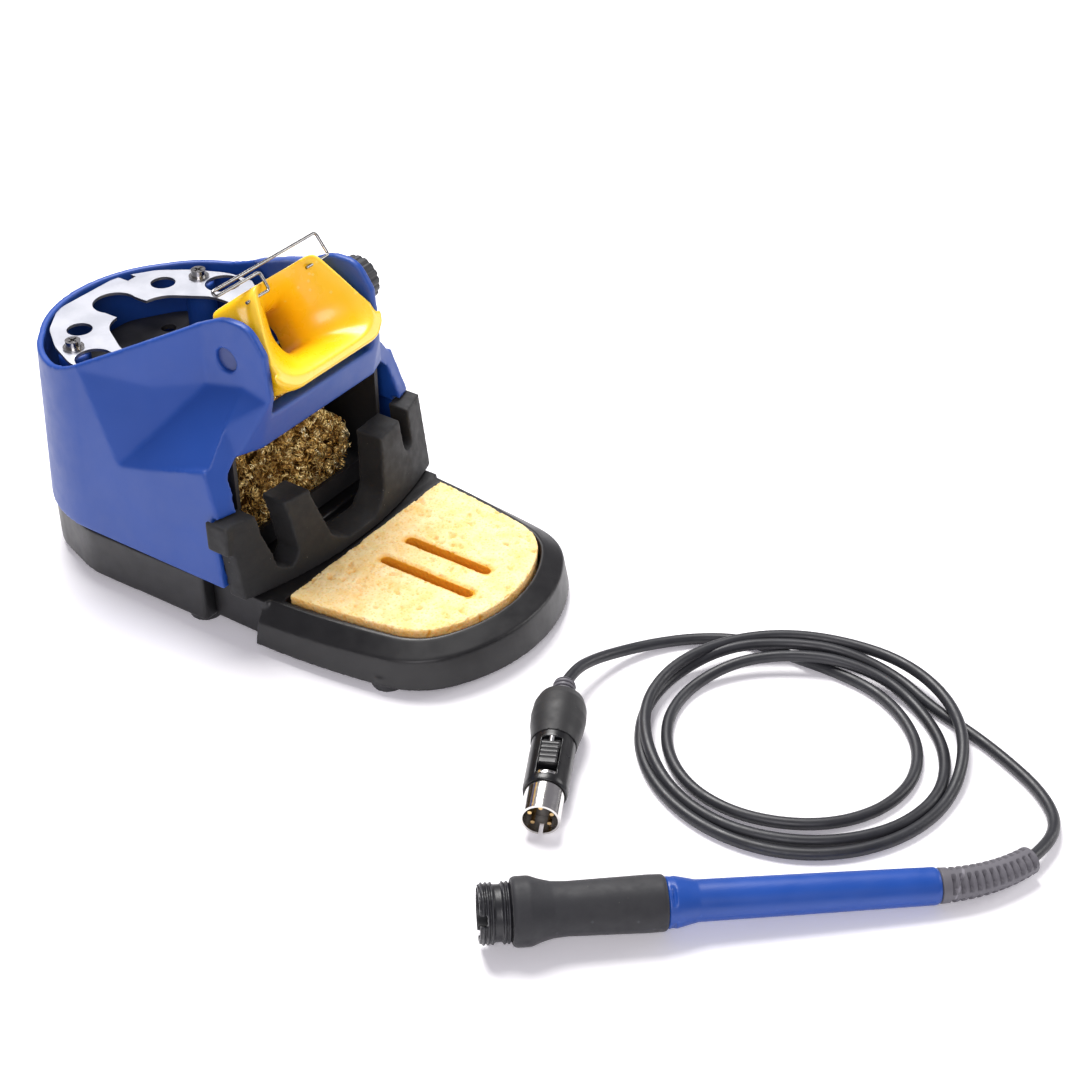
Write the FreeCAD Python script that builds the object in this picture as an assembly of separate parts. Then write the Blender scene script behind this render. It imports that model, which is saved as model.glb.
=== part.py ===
import FreeCAD, Part
import math
import os

# Soldering iron station: a weighted holder with a tilting iron receptacle, tip
# storage, brass cleaning wool, a rubber wiper and a sponge tray, and the iron's
# handpiece with its cord and plug lying in front of it.
# Millimetres. +Z is up and the origin is on the bench, under the middle of the
# box around the stand and the handpiece. The stand is drawn about its own centre
# line (x = 0) with the front of its housing near y = 0, and is moved into place
# as the pieces are written. The handpiece, cord and plug are drawn in place.

Vector = FreeCAD.Vector

# ---- driving dimensions of the stand ---------------------------------------
STAND_AT = Vector(38.0, 77.7, 0.0)
FOOT_H = 3.0                 # rubber feet lift the base off the bench
SEAM_Z = 23.0                # joint between the base and the housing
SHOULDER_Z = 88.0            # the housing tapers up to here, then is upright
TOP_Z = 119.0                # limit of the ear stock before the rim is cut
SEAM_HALF, TOP_HALF = 57.5, 51.3
FRONT_STOCK_Y = 0.0          # front of the block that the front face is cut from
SEAM_REAR, TOP_REAR = 128.0, 127.0
SIDE_END = 76.0              # where the straight sides meet the round back
WALL = 2.6
BASE_HALF, BASE_REAR = 57.3, 129.2
BASE_SPLIT_Y = 20.0          # base behind this line, tray in front of it
BASE_FLOOR = FOOT_H + WALL
BALLAST_T = 8.0
BALLAST_SCREWS = ((-24, 60), (24, 60))
GAP = 0.3                    # clearance between separate mouldings

EAR_INNER, EAR_OUTER = 27.9, 31.2
EAR_BACK = 36.0
PIVOT_Y, PIVOT_Z = 20.6, 101.4
PIVOT_R = 4.5
NUT_AT, BUSH_AT = 16.3, 20.0
NUT_R, KNOB_SCREW_R = 4.0, 2.0
EAR_CLEAR = 20.4             # the flare is wider than the ears' gap only beyond this radius
KNOB_R, KNOB_L = 9.2, 13.0
BRIDGE_TOP, BRIDGE_LOW = 83.5, 70.0
MOUTH_HALF = 45.5            # half width of the wool opening
BIN_HALF, BIN_FRONT, BIN_REAR, BIN_WALL = 41.0, 13.0, 56.0, 1.8
WIPER_SEAT = 50.9            # underside of the front pillars, over the wiper

# Side recess: (y, z, x) of its corners, for the right-hand side.
RIDGE_TOP, RIDGE_LOW = (14.0, 93.0, EAR_OUTER), (14.9, 68.7, 50.9)
PANEL_BACK, CREASE_TOP = (31.0, 89.0, EAR_OUTER), (50.0, 86.0, 40.6)
RECESS_LOW, KNEE = (58.0, 56.0, 54.6), (76.0, 90.0, 51.4)

TIP_PLATE_Z, TIP_PLATE_T = 83.0, 1.2
RACK_Z, RACK_T = 62.0, 2.0
TIP_HOLES = ((22.6, 104.0, 4.9), (35.2, 84.0, 7.0))   # x, y, radius, on both sides
TIP_SCREW = (34.0, 95.5)
BOSS_R = 6.0
KEYHOLE = (0.0, 108.0, 8.5)

WIPER_FLOOR = 19.7
WIPER_CREST = 50.5
WIPER_HALF = 55.0
WIPER_LEAN = 0.134           # how far it leans back for each millimetre of height

TRAY_Z0, TRAY_TOP = 3.2, 19.3
TRAY_EDGE_Z = (12.0, 16.0)   # lower edge of the bevel, at the back and at the front
TRAY_DRAFT = 2.0             # the walls lean in by this much up to the bevel
TRAY_BEVEL = (7.5, 10.0)     # how far in the bevel ends, at the back and at the front
TRAY_BACK, TRAY_FRONT = -4.0, -89.6
TRAY_SHAPE = (               # right half of the outline: x, y and the way it faces
    (56.8, TRAY_BACK, 1.0, 0.0), (54.6, -32.0, 0.99, -0.12), (50.5, -57.0, 0.986, -0.167),
    (45.6, -69.5, 0.835, -0.55), (36.0, -79.0, 0.542, -0.841), (0.0, TRAY_FRONT, 0.0, -1.0),
)
NECK_HALF = 51.2
POCKET_INSET, POCKET_BACK = 10.6, -10.5
SPONGE_INSET, SPONGE_BACK = 11.6, -12.0
SPONGE_FLOOR, SPONGE_TOP = 8.5, 22.0
SLITS = ((-7.9, -66.0), (7.1, -63.0))   # x and front end of each slit in the sponge
SLIT_BACK, SLIT_W = -25.5, 3.0
TONGUE = (30.0, 34.0, 9.0, 12.0)        # half width, back end, underside and top

BASE_SCREWS = ((-46.5, 42.0), (46.5, 42.0), (-38.0, 104.0), (38.0, 104.0))
FEET = ((-48.5, 27.5), (48.5, 27.5), (-34.0, 108.0), (34.0, 108.0))
TRAY_FEET = ((-43.5, -55.0), (43.5, -55.0))
FOOT_R = 6.2

WIRE_R = 0.6
WIRE_PIN = Vector(16.0, 18.0, 120.0)
WIRE_RISE, WIRE_LEAN, WIRE_REACH = 7.3, 5.7, -31.0
WIRE_LEGS = (24.0, -8.5)     # x of the right and the left leg

# ---- driving dimensions of the handpiece, cord and plug ---------------------
NOSE_FRONT = Vector(-88.8, -77.7, 0.0)
HAND_HEADING = -48.9         # degrees about +Z, from the nose towards the cord
HAND_LENGTH = 143.0          # nose to the end of the blue handle tube
FLARE_AT, FLARE_R = 13.0, 10.75
HAND_TILT = 2.1              # the handle's thin end lies lower than its flared nose
RELIEF_TURN, RELIEF_LENGTH = 30.8, 33.0
RELIEF_END_Z = 5.0

PLUG_FRONT = Vector(-40.5, -67.1, 0.0)
PLUG_HEADING = 27.0
PLUG_TILT = -3.5
PLUG_ROLL = 50.0             # the latch is turned away from the top
PLUG_SHELL_R = 6.6           # standard 13.2 mm round connector shell
PLUG_BOOT_R = 9.5
PLUG_BOOT_AT = 47.0
PLUG_LENGTH = 65.0

CORD_D = 4.1
CORD_Z = CORD_D / 2 + 0.05
COIL_CENTRE = Vector(45.0, -114.3, 0.0)
COIL_OUTER_R = 56.5
COIL_HOLE = (43.5, -112.8, 37.0)
COIL_H = 9.5

# The cord's free stretches, point to point; the coil's turns lie between them.
HANDLE_ROUTE = (
    (32.5, -203.6, 5.0), (44.5, -206.0, 4.2), (57.5, -202.6, 2.9), (68.0, -192.5, CORD_Z),
    (75.8, -177.5, CORD_Z), (82.2, -161.5, CORD_Z), (86.4, -146.0, CORD_Z),
)
PLUG_ROUTE = (
    (84.8, -87.0, CORD_Z), (84.2, -71.5, CORD_Z), (76.0, -57.5, CORD_Z), (64.3, -46.6, 2.6),
    (51.5, -39.6, 4.2), (38.5, -36.0, 7.4), (26.5, -35.5, 10.3), (17.31, -37.65, 10.9),
)


# ---- helpers ----------------------------------------------------------------
def mix(low, high, share):
    return low + (high - low) * share


def rounded_wire(points, radius=0.0, closed=True):
    """Lines through corner points, each corner rounded by a tangent arc."""
    corners = [Vector(*point) for point in points]
    count = len(corners)
    radii = list(radius) if isinstance(radius, (list, tuple)) else [radius] * count
    spans = []
    for index, corner in enumerate(corners):
        end = not closed and index in (0, count - 1)
        if end or radii[index] <= 0:
            spans.append((corner, None, corner))
            continue
        back = (corners[index - 1] - corner).normalize()
        ahead = (corners[(index + 1) % count] - corner).normalize()
        half = back.getAngle(ahead) / 2
        cut = radii[index] / math.tan(half)
        middle = (back + ahead).normalize() * (radii[index] / math.sin(half) - radii[index])
        spans.append((corner + back * cut, corner + middle, corner + ahead * cut))
    edges = []
    for index, (start, middle, finish) in enumerate(spans):
        if middle is not None:
            edges.append(Part.Arc(start, middle, finish).toShape())
        if index + 1 < count or closed:
            following = spans[(index + 1) % count][0]
            if (following - finish).Length > 1e-6:
                edges.append(Part.LineSegment(finish, following).toShape())
    return Part.Wire(edges)


def slab(points, radius, direction):
    """Prism of a closed rounded outline."""
    return Part.Face(rounded_wire(points, radius)).extrude(direction)


def plan(points, radius, low, high):
    return slab([(x, y, low) for x, y in points], radius, Vector(0, 0, high - low))


def side(points, radius, left, right):
    """Prism across the stand from an outline of (y, z) points."""
    return slab([(left, y, z) for y, z in points], radius, Vector(right - left, 0, 0))


def front(points, radius, near, far):
    """Prism along the stand from an outline of (x, z) points."""
    return slab([(x, near, z) for x, z in points], radius, Vector(0, far - near, 0))


def box(left, right, near, far, low, high):
    return Part.makeBox(right - left, far - near, high - low, Vector(left, near, low))


def rod(start, finish, radius):
    start, finish = Vector(*start), Vector(*finish)
    return Part.makeCylinder(radius, (finish - start).Length, start, finish - start)


def post(x, y, low, high, radius):
    return rod((x, y, low), (x, y, high), radius)


def across(left, right, radius, y=PIVOT_Y, z=PIVOT_Z):
    return rod((left, y, z), (right, y, z), radius)


def turned(profile):
    """Solid of revolution about the X axis from (station, radius) points."""
    points = [Vector(station, 0, radius) for station, radius in profile]
    return Part.Face(Part.makePolygon(points + points[:1])).revolve(Vector(), Vector(1, 0, 0), 360)


def tube(start, finish, outer, inner):
    return turned([(start, inner), (finish, inner), (finish, outer), (start, outer)])


def mirrored(shape):
    return shape.mirror(Vector(), Vector(1, 0, 0))


def both_sides(shape):
    return shape.fuse(mirrored(shape))


def joined(shapes):
    shapes = list(shapes)
    return shapes[0].fuse(shapes[1:]).removeSplitter() if len(shapes) > 1 else shapes[0]


# ---- stand mouldings ---------------------------------------------------------
def housing_outline(level, inset=0.0):
    share = min(max((level - SEAM_Z) / (SHOULDER_Z - SEAM_Z), 0.0), 1.0)
    half = mix(SEAM_HALF, TOP_HALF, share) - inset
    near = FRONT_STOCK_Y + inset
    shoulder = Vector(mix(50.8, 46.0, share) - 0.8 * inset, 100.5 - 0.6 * inset, level)
    corner = Vector(mix(35.5, 34.0, share) - 0.5 * inset, mix(116.0, 113.6, share) - 0.86 * inset, level)
    rear = Vector(0, mix(SEAM_REAR, TOP_REAR, share) - inset, level)

    def flip(point):
        return Vector(-point.x, point.y, point.z)

    front_right, side_right = Vector(half, near, level), Vector(half, SIDE_END, level)
    return Part.Wire([
        Part.LineSegment(flip(front_right), front_right).toShape(),
        Part.LineSegment(front_right, side_right).toShape(),
        Part.Arc(side_right, shoulder, corner).toShape(),
        Part.Arc(corner, rear, flip(corner)).toShape(),
        Part.Arc(flip(corner), flip(shoulder), flip(side_right)).toShape(),
        Part.LineSegment(flip(side_right), flip(front_right)).toShape(),
    ])


def housing_block(inset, low, high):
    taper = Part.makeLoft([housing_outline(SEAM_Z, inset), housing_outline(SHOULDER_Z, inset)], True, True)
    upright = Part.Face(housing_outline(SHOULDER_Z, inset)).extrude(Vector(0, 0, high - SHOULDER_Z))
    block = joined([taper, upright])
    if low < SEAM_Z:
        skirt = Part.Face(housing_outline(SEAM_Z, inset)).extrude(Vector(0, 0, low - SEAM_Z))
        block = joined([block, skirt])
    return block


def wedge(corners, far):
    """Prism between a slanted triangle or quad and its shadow, each corner moved by far."""
    corners = [Vector(*corner) for corner in corners]
    shadow = [corner + far(corner) for corner in corners]
    count = len(corners)
    faces = [Part.Face(Part.makePolygon(corners + corners[:1])),
             Part.Face(Part.makePolygon(shadow + shadow[:1]))]
    for index in range(count):
        after = (index + 1) % count
        ring = [corners[index], corners[after], shadow[after], shadow[index]]
        faces.append(Part.Face(Part.makePolygon(ring + ring[:1])))
    solid = Part.makeSolid(Part.makeShell(faces))
    if solid.Volume < 0:
        solid.reverse()
    return solid


def over_rim():
    """Everything above the rim, which climbs from the low back to the ears."""
    rim = [(140, 85.5), (88, 85.5), (21, 117.8), (9, 117.8), (2.6, 108), (1.6, 98), (-30, 98),
           (-30, 170), (140, 170)]
    return side(rim, [0, 40, 16, 9, 0, 0, 0, 0, 0], -70, 70)


def side_recess(inset):
    """Hollow beside the ear: an upright upper wall, a sloping panel and a sloping rear wall."""
    top = 160.0

    def corner(point, down=0.0, back=0.0):
        y, z, x = point
        return (x - inset * 1.15, y + back, z - down)

    ridge_top, ridge_low = corner(RIDGE_TOP, inset, -3 * inset), corner(RIDGE_LOW, inset, -3 * inset)
    panel_back, crease = corner(PANEL_BACK, inset, inset), corner(CREASE_TOP, inset, inset)
    low, knee = corner(RECESS_LOW, inset, inset), corner(KNEE, 0, inset)

    def raised(point):
        return (point[0], point[1], top)

    surfaces = [(ridge_top, ridge_low, panel_back), (ridge_low, low, panel_back), (panel_back, low, crease),
                (crease, low, knee), (ridge_top, panel_back, raised(panel_back), raised(ridge_top)),
                (panel_back, crease, raised(panel_back)), (crease, raised(crease), raised(panel_back)),
                (crease, knee, raised(crease)), (knee, raised(knee), raised(crease))]
    return joined([wedge(surface, lambda point: Vector(90 - point.x, 0, 0)) for surface in surfaces])


def front_face(inset):
    """Everything in front of the folded front face: bridge, bevelled pillars and ears."""
    profile = [(2.6, 160), (2.6, 108), (1.4, 92), (3.6, BRIDGE_TOP), (6.6, BRIDGE_LOW), (3.4, WIPER_SEAT),
               (0.6, 20), (-60, 20), (-60, 160)]
    middle = side([(y + inset, z) for y, z in profile], 0, -EAR_OUTER, EAR_OUTER)
    edge = EAR_OUTER
    low, high = 20.0, 160.0
    spots = {
        "a0": (edge, 0.6, low), "a1": (edge, 3.4, WIPER_SEAT), "a2": (edge, 6.6, BRIDGE_LOW),
        "a3": (edge, 2.0, 90.0), "a4": (edge, 14.0, 93.0), "a5": (edge, 14.0, high),
        "b0": (41, 2.6, low), "b1": (41, 5.8, WIPER_SEAT), "b2": (41, 10.6, 69.5), "b3": (41, 14.4, 81.7),
        "c0": (51.5, 5.4, low), "c1": (51.5, 8.6, WIPER_SEAT), "c2": (51.5, 14.9, 68.2),
        "d0": (75, 12.0, low), "d1": (75, 15.0, WIPER_SEAT), "d2": (75, 22.0, 68.2), "d3": (75, 14.9, high),
    }
    triangles = ("a0 b0 a1", "b0 b1 a1", "a1 b1 a2", "b1 b2 a2", "a2 b2 a3", "b2 b3 a3", "a3 b3 a4",
                 "b0 c0 b1", "c0 c1 b1", "b1 c1 b2", "c1 c2 b2", "b2 c2 b3", "c0 d0 c1", "d0 d1 c1",
                 "c1 d1 c2", "d1 d2 c2", "c2 d2 d3", "b3 c2 d3", "a4 b3 d3", "a4 d3 a5")
    wings = []
    for names in triangles:
        corners = [spots[name] for name in names.split()]
        corners = [(x, y + inset, z) for x, y, z in corners]
        wings.append(wedge(corners, lambda point: Vector(0, -60 - point.y, 0)))
    return joined([middle, both_sides(joined(wings))])


def housing_form(inset, low, high):
    """The housing's outer form, or its hollow when it is inset by the wall."""
    form = housing_block(inset, low, high)
    form = form.cut(both_sides(side_recess(inset)))
    return form.cut(front_face(inset))


def housing():
    """Blue moulding: one wall thick, with ears, bosses for the tip plates and screw posts."""
    outer = housing_form(0.0, SEAM_Z, TOP_Z)
    hollow = housing_form(WALL, SEAM_Z - 1, TOP_Z + 20)
    body = outer.cut(hollow)
    ear_stock = box(EAR_INNER, EAR_OUTER + 2, -20, EAR_BACK, BRIDGE_TOP - 6, TOP_Z)
    pillar_stock = box(MOUTH_HALF - 3.0, 60, -20, 19, WIPER_SEAT - 2, BRIDGE_LOW + 4)
    shelf = box(-EAR_OUTER, EAR_OUTER, -20, 10, BRIDGE_TOP - WALL, BRIDGE_TOP)
    body = joined([body, outer.common(joined([both_sides(ear_stock), both_sides(pillar_stock), shelf]))])
    body = body.cut(over_rim())
    mouth = front([(-MOUTH_HALF - 2.2, 10), (MOUTH_HALF + 2.2, 10), (MOUTH_HALF + 1.6, WIPER_SEAT),
                   (MOUTH_HALF, 65), (40.5, BRIDGE_LOW), (-40.5, BRIDGE_LOW), (-MOUTH_HALF, 65),
                   (-MOUTH_HALF - 1.6, WIPER_SEAT)], [0, 0, 0, 3, 3, 3, 3, 0], -30, 20)
    body = body.cut(mouth)
    body = body.cut(box(-EAR_INNER, EAR_INNER, -30, EAR_BACK + 2, BRIDGE_TOP, 200))
    back = wiper_back(WIPER_SEAT) + GAP
    wiper_room = [(-30, 0), (wiper_back(0) + GAP, 0), (back, WIPER_SEAT), (-30, WIPER_SEAT)]
    body = body.cut(side(wiper_room, 0, -70, 70))
    places = [(x, TIP_SCREW[1]) for x in (-TIP_SCREW[0], TIP_SCREW[0])]
    boss_foot = RACK_Z - 12
    bosses = [post(x, y, boss_foot, TIP_PLATE_Z, BOSS_R) for x, y in places]
    webs = [box(min(x, x * 1.6), max(x, x * 1.6), y - 1.2, y + 1.2, boss_foot, RACK_Z - 2) for x, y in places]
    anchors = [post(x, y, SEAM_Z, SEAM_Z + 22, 4.0) for x, y in BASE_SCREWS]
    ties = [box(min(x, x * 1.4), max(x, x * 1.4), y - 1, y + 1, SEAM_Z, SEAM_Z + 20) for x, y in BASE_SCREWS]
    body = joined([body, outer.common(joined(bosses + webs + anchors + ties))])
    pilots = [post(x, y, RACK_Z, TIP_PLATE_Z + 1, 1.4) for x, y in places]
    pilots += [post(x, y, SEAM_Z - 1, SEAM_Z + 16, 1.5) for x, y in BASE_SCREWS]
    body = body.cut(joined(pilots))
    return body.cut(across(-60, 60, PIVOT_R + 0.06))


def base_block(low, high, inset):
    half = BASE_HALF - inset
    near, rear = BASE_SPLIT_Y + inset, BASE_REAR - inset
    outline = [(1.0 - half, near), (half - 1.0, near), (half, 78), (half * 0.86, 102), (half * 0.55, 121),
               (half * 0.2, rear), (-half * 0.2, rear), (-half * 0.55, 121), (-half * 0.86, 102), (-half, 78)]
    radii = [1.0, 1.0, 30, 25, 25, 30, 30, 25, 25, 30]
    return plan(outline, radii, low, high)


def base():
    """Black tub under the housing, with screw posts, foot recesses and the tray's slot."""
    shell = base_block(FOOT_H, SEAM_Z, 0.0).cut(base_block(FOOT_H + WALL, SEAM_Z + 1, WALL))
    posts = [post(x, y, FOOT_H, SEAM_Z, 5.0) for x, y in BASE_SCREWS]
    shell = joined([shell] + posts)
    for x, y in BASE_SCREWS:
        shell = shell.cut(post(x, y, 0, SEAM_Z + 1, 1.9))
        shell = shell.cut(post(x, y, 0, SEAM_Z - 6, 3.3))
    for x, y in FEET:
        shell = shell.cut(post(x, y, 0, FOOT_H + 1.2, FOOT_R + 0.1))
    half, tongue_back, tongue_low, tongue_top = TONGUE
    slot = box(-half - GAP, half + GAP, 0, tongue_back + GAP, tongue_low - GAP, tongue_top + GAP)
    return shell.cut(slot)


def feet(places):
    return Part.makeCompound([post(x, y, 0, FOOT_H + 1.1, FOOT_R) for x, y in places])


def base_screws():
    screws = []
    for x, y in BASE_SCREWS:
        head = post(x, y, SEAM_Z - 8.5, SEAM_Z - 6, 2.9)
        shank = post(x, y, SEAM_Z - 6, SEAM_Z + 12, 1.45)
        cross = joined([box(x - 1.6, x + 1.6, y - 0.4, y + 0.4, SEAM_Z - 9, SEAM_Z - 7.3),
                        box(x - 0.4, x + 0.4, y - 1.6, y + 1.6, SEAM_Z - 9, SEAM_Z - 7.3)])
        screws.append(head.fuse(shank).removeSplitter().cut(cross))
    return Part.makeCompound(screws)


def ballast_plate():
    """Iron plate on the base's floor that keeps the stand from tipping."""
    outline = [(-34, 38), (34, 38), (34, 96), (22, 110), (-22, 110), (-34, 96)]
    plate = plan(outline, 6, BASE_FLOOR, BASE_FLOOR + BALLAST_T)
    for x, y in BALLAST_SCREWS:
        plate = plate.cut(post(x, y, 0, BASE_FLOOR + BALLAST_T + 1, 2.2))
    return plate


def ballast_screws():
    top = BASE_FLOOR + BALLAST_T
    screws = []
    for x, y in BALLAST_SCREWS:
        head = post(x, y, top, top + 2.2, 4.0)
        shank = post(x, y, BASE_FLOOR, top, 2.1)
        screws.append(head.fuse(shank).removeSplitter())
    return Part.makeCompound(screws)


def cleaner_bin():
    """Open-fronted black liner that holds the brass wool."""
    half, inner, near, rear, wall = BIN_HALF, BIN_HALF - BIN_WALL, BIN_FRONT, BIN_REAR, BIN_WALL
    low, high = SEAM_Z + 0.5, BRIDGE_LOW - 2
    outer = box(-half, half, near, rear, low, high)
    shell = outer.cut(box(-inner, inner, -5, rear - wall, low + wall, high + 5))
    lip = box(-inner, inner, near, near + 1.6, low + wall, low + 8.5)
    return joined([shell, lip])


def brass_wool():
    """Outer form of the ball of curled brass ribbon, high at its left."""
    outline = [(-38.0, SEAM_Z + 3), (22, SEAM_Z + 3), (29, 37), (26, 50), (9, 64), (-20, 65.5), (-38.0, 60)]
    ball = front(outline, [6, 9, 8, 10, 12, 8, 8], 15.0, 52.5)
    return ball.makeFillet(5.0, [edge for edge in ball.Edges if abs(edge.BoundBox.YLength) < 0.01])


# ---- tip storage -------------------------------------------------------------
def tip_plate_outline(inset):
    half = 44.6 - inset
    return [(-half + 4, 70), (-half, 76), (-half, 88), (-half + 6, 102), (-29, 113.5), (-16, 122.5),
            (16, 122.5), (29, 113.5), (half - 6, 102), (half, 88), (half, 76), (half - 4, 70)]


def tip_plate():
    top = TIP_PLATE_Z + TIP_PLATE_T
    plate = plan(tip_plate_outline(1.4), [2, 3, 20, 18, 14, 14, 14, 14, 18, 20, 3, 2], TIP_PLATE_Z, top)
    throat = plan([(-25, 40), (25, 40), (25, 80), (14, 99), (-14, 99), (-25, 80)],
                  [0, 0, 14, 12, 12, 14], TIP_PLATE_Z - 1, top + 1)
    x, y, radius = KEYHOLE
    neck = plan([(-8, 95), (8, 95), (8, 108), (-8, 108)], 0, TIP_PLATE_Z - 1, top + 1)
    plate = plate.cut(joined([throat, neck, post(x, y, TIP_PLATE_Z - 1, top + 1, radius)]))
    plate = plate.cut(box(16, 20.5, 116.5, 130, TIP_PLATE_Z - 1, top + 1))
    for hole_x, hole_y, hole_r in TIP_HOLES:
        plate = plate.cut(both_sides(post(hole_x, hole_y, TIP_PLATE_Z - 1, top + 1, hole_r)))
    return plate.cut(both_sides(post(TIP_SCREW[0], TIP_SCREW[1], TIP_PLATE_Z - 1, top + 1, 1.8)))


def lower_tip_rack():
    """Second, lower plate whose smaller holes take the tips' ends."""
    half = 46.0
    rack = plan([(-half, 74), (-30, 82), (-14, 96), (14, 96), (30, 82), (half, 74), (half - 2, 92),
                 (36, 110), (18, 121.5), (-18, 121.5), (-36, 110), (-half + 2, 92)],
                [3, 12, 12, 12, 12, 3, 14, 14, 14, 14, 14, 14], RACK_Z, RACK_Z + RACK_T)
    for hole_x, hole_y, hole_r in TIP_HOLES:
        rack = rack.cut(both_sides(post(hole_x, hole_y, RACK_Z - 1, RACK_Z + RACK_T + 1, hole_r * 0.62)))
    x, y = TIP_SCREW
    return rack.cut(both_sides(post(x, y, RACK_Z - 1, RACK_Z + RACK_T + 1, BOSS_R + 0.1)))


def tip_plate_screws():
    top = TIP_PLATE_Z + TIP_PLATE_T
    screws = []
    for x in (-TIP_SCREW[0], TIP_SCREW[0]):
        y = TIP_SCREW[1]
        washer = post(x, y, top, top + 0.8, 4.0)
        head = post(x, y, top + 0.8, top + 3.4, 2.9)
        shank = post(x, y, top - 14, top + 0.8, 1.35)
        cross = joined([box(x - 1.9, x + 1.9, y - 0.4, y + 0.4, top + 1.8, top + 4),
                        box(x - 0.4, x + 0.4, y - 1.9, y + 1.9, top + 1.8, top + 4)])
        screws.append(joined([washer, head, shank]).cut(cross))
    return Part.makeCompound(screws)


# ---- receptacle, its pivot and the wire rest ----------------------------------
RIM_MIDDLE = Vector(0, 8.0, 109.5)
RIM_UP = Vector(0, 0.625, 0.7806)
RIM_OUT = Vector(0, -0.7806, 0.625)


def slope_ring(half_points, depth):
    """Closed outline on a plane parallel to the receptacle's rim, depth behind it."""
    whole = list(half_points) + [(-x, v) for x, v in reversed(half_points)]
    return [tuple(RIM_MIDDLE + Vector(x, 0, 0) + RIM_UP * v - RIM_OUT * depth) for x, v in whole]


def slope_loft(first, first_depth, second, second_depth, radii):
    corners = list(radii) + list(reversed(radii))
    rings = [rounded_wire(slope_ring(first, first_depth), corners),
             rounded_wire(slope_ring(second, second_depth), corners)]
    return Part.makeLoft(rings, True, True)


def receptacle():
    """Flared funnel between the ears, open at the top between two horns."""
    rim = [(23, -20), (30.5, -14.5), (27.0, -8.5), (16.5, 18)]
    collar = [(25, -19.5), (27.3, -13), (27.4, -6), (22, 18)]
    waist = [(26, -18), (27.4, -10), (27.5, -3), (27.5, 18)]
    tail = [(15, -10), (17, -6), (18, -1), (17, 9)]
    corners = (4, 3, 4, 5)
    body = joined([slope_loft(rim, 0, collar, 4, corners), slope_loft(collar, 4, waist, 13, corners),
                   slope_loft(waist, 13, tail, 31, (3, 1.5, 3, 5))])
    mouth, throat = [(19.5, -15), (25, -5), (10.5, 22)], [(6, -8), (7.5, 0), (6.5, 8)]
    hollow = [slope_loft(mouth, -1, throat, 20, (6, 8, 4)), slope_loft(throat, 19, throat, 40, (3, 3, 3))]
    body = body.cut(joined(hollow))
    body = body.cut(side([(-30, 117), (19, 117), (23, 128), (23, 150), (-30, 150)], 0, -9.5, 9.5))
    swept = across(EAR_INNER - 0.4, 40, EAR_CLEAR)
    body = body.cut(both_sides(swept))
    for x in (-1, 1):
        body = body.cut(rod((x * 9, WIRE_PIN.y, WIRE_PIN.z), (x * 26, WIRE_PIN.y, WIRE_PIN.z), WIRE_R + 0.05))
    return body.cut(across(-50, -19, PIVOT_R + 0.02)).cut(across(NUT_AT - 0.5, 50, PIVOT_R + 0.02))


def pivot_pin():
    return across(-EAR_OUTER + 1.5, -20.0, PIVOT_R)


def pivot_bush():
    return across(BUSH_AT, EAR_OUTER - 0.3, PIVOT_R).cut(across(0, 60, KNOB_SCREW_R + 0.05))


def lock_nut():
    corners = []
    for step in range(6):
        angle = math.radians(60 * step)
        corners.append((PIVOT_Y + NUT_R * math.cos(angle), PIVOT_Z + NUT_R * math.sin(angle)))
    return side(corners, 0, NUT_AT, BUSH_AT - 0.1).cut(across(0, 60, KNOB_SCREW_R + 0.05))


def friction_washer():
    return across(EAR_OUTER + 0.1, EAR_OUTER + 1.1, 7.5).cut(across(0, 60, 2.3))


def knob():
    body = across(EAR_OUTER + 1.3, EAR_OUTER + KNOB_L, KNOB_R)
    ribs = 18
    for step in range(ribs):
        angle = 2 * math.pi * step / ribs
        y, z = PIVOT_Y + (KNOB_R + 0.3) * math.cos(angle), PIVOT_Z + (KNOB_R + 0.3) * math.sin(angle)
        body = body.cut(across(EAR_OUTER, EAR_OUTER + 30, 0.75, y, z))
    return body.cut(across(EAR_OUTER, EAR_OUTER + 9, KNOB_SCREW_R))


def knob_screw():
    return across(NUT_AT - 0.4, EAR_OUTER + 9, KNOB_SCREW_R)


def rest_wire():
    """One bent wire: two pins in the horns, two legs that lean back and a long hairpin."""
    pin = WIRE_PIN
    right, left = WIRE_LEGS
    top, back = pin.z + WIRE_RISE, pin.y + WIRE_LEAN
    low, near = top - 1.4, back - 1.7
    route = [(11.5, pin.y, pin.z), (right, pin.y, pin.z), (right, back, top), (WIRE_REACH, back, top),
             (WIRE_REACH, near, low), (left, near, low), (left, pin.y, pin.z), (-20.5, pin.y, pin.z)]
    path = rounded_wire(route, [0, 1.2, 1.2, 1.0, 1.0, 1.2, 1.2, 0], closed=False)
    start = Part.Wire(Part.makeCircle(WIRE_R, Vector(*route[0]), Vector(1, 0, 0)))
    return path.makePipeShell([start], True, True)


# ---- wiper, tray and sponge ----------------------------------------------------
def wiper_back(level):
    """Rear face of the wiper's ends at a height, where the housing's pillars stand behind it."""
    return 7.6 + WIPER_LEAN * (level - WIPER_FLOOR)


def wiper_outline(level):
    """Front and rear faces, both bowed forward, at a height."""
    lean = WIPER_LEAN * (level - WIPER_FLOOR)

    def bow(end, middle):
        ends = [Vector(x, end + lean, level) for x in (-WIPER_HALF, WIPER_HALF)]
        return Part.Arc(ends[0], Vector(0, middle + lean, level), ends[1]).toShape()

    faces = [bow(0.3, -9.3), bow(7.6, 3.6)]
    closing = [Part.LineSegment(Vector(x, 0.3 + lean, level), Vector(x, 7.6 + lean, level)).toShape()
               for x in (WIPER_HALF, -WIPER_HALF)]
    return Part.Wire([faces[0], closing[0], faces[1], closing[1]])


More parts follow.
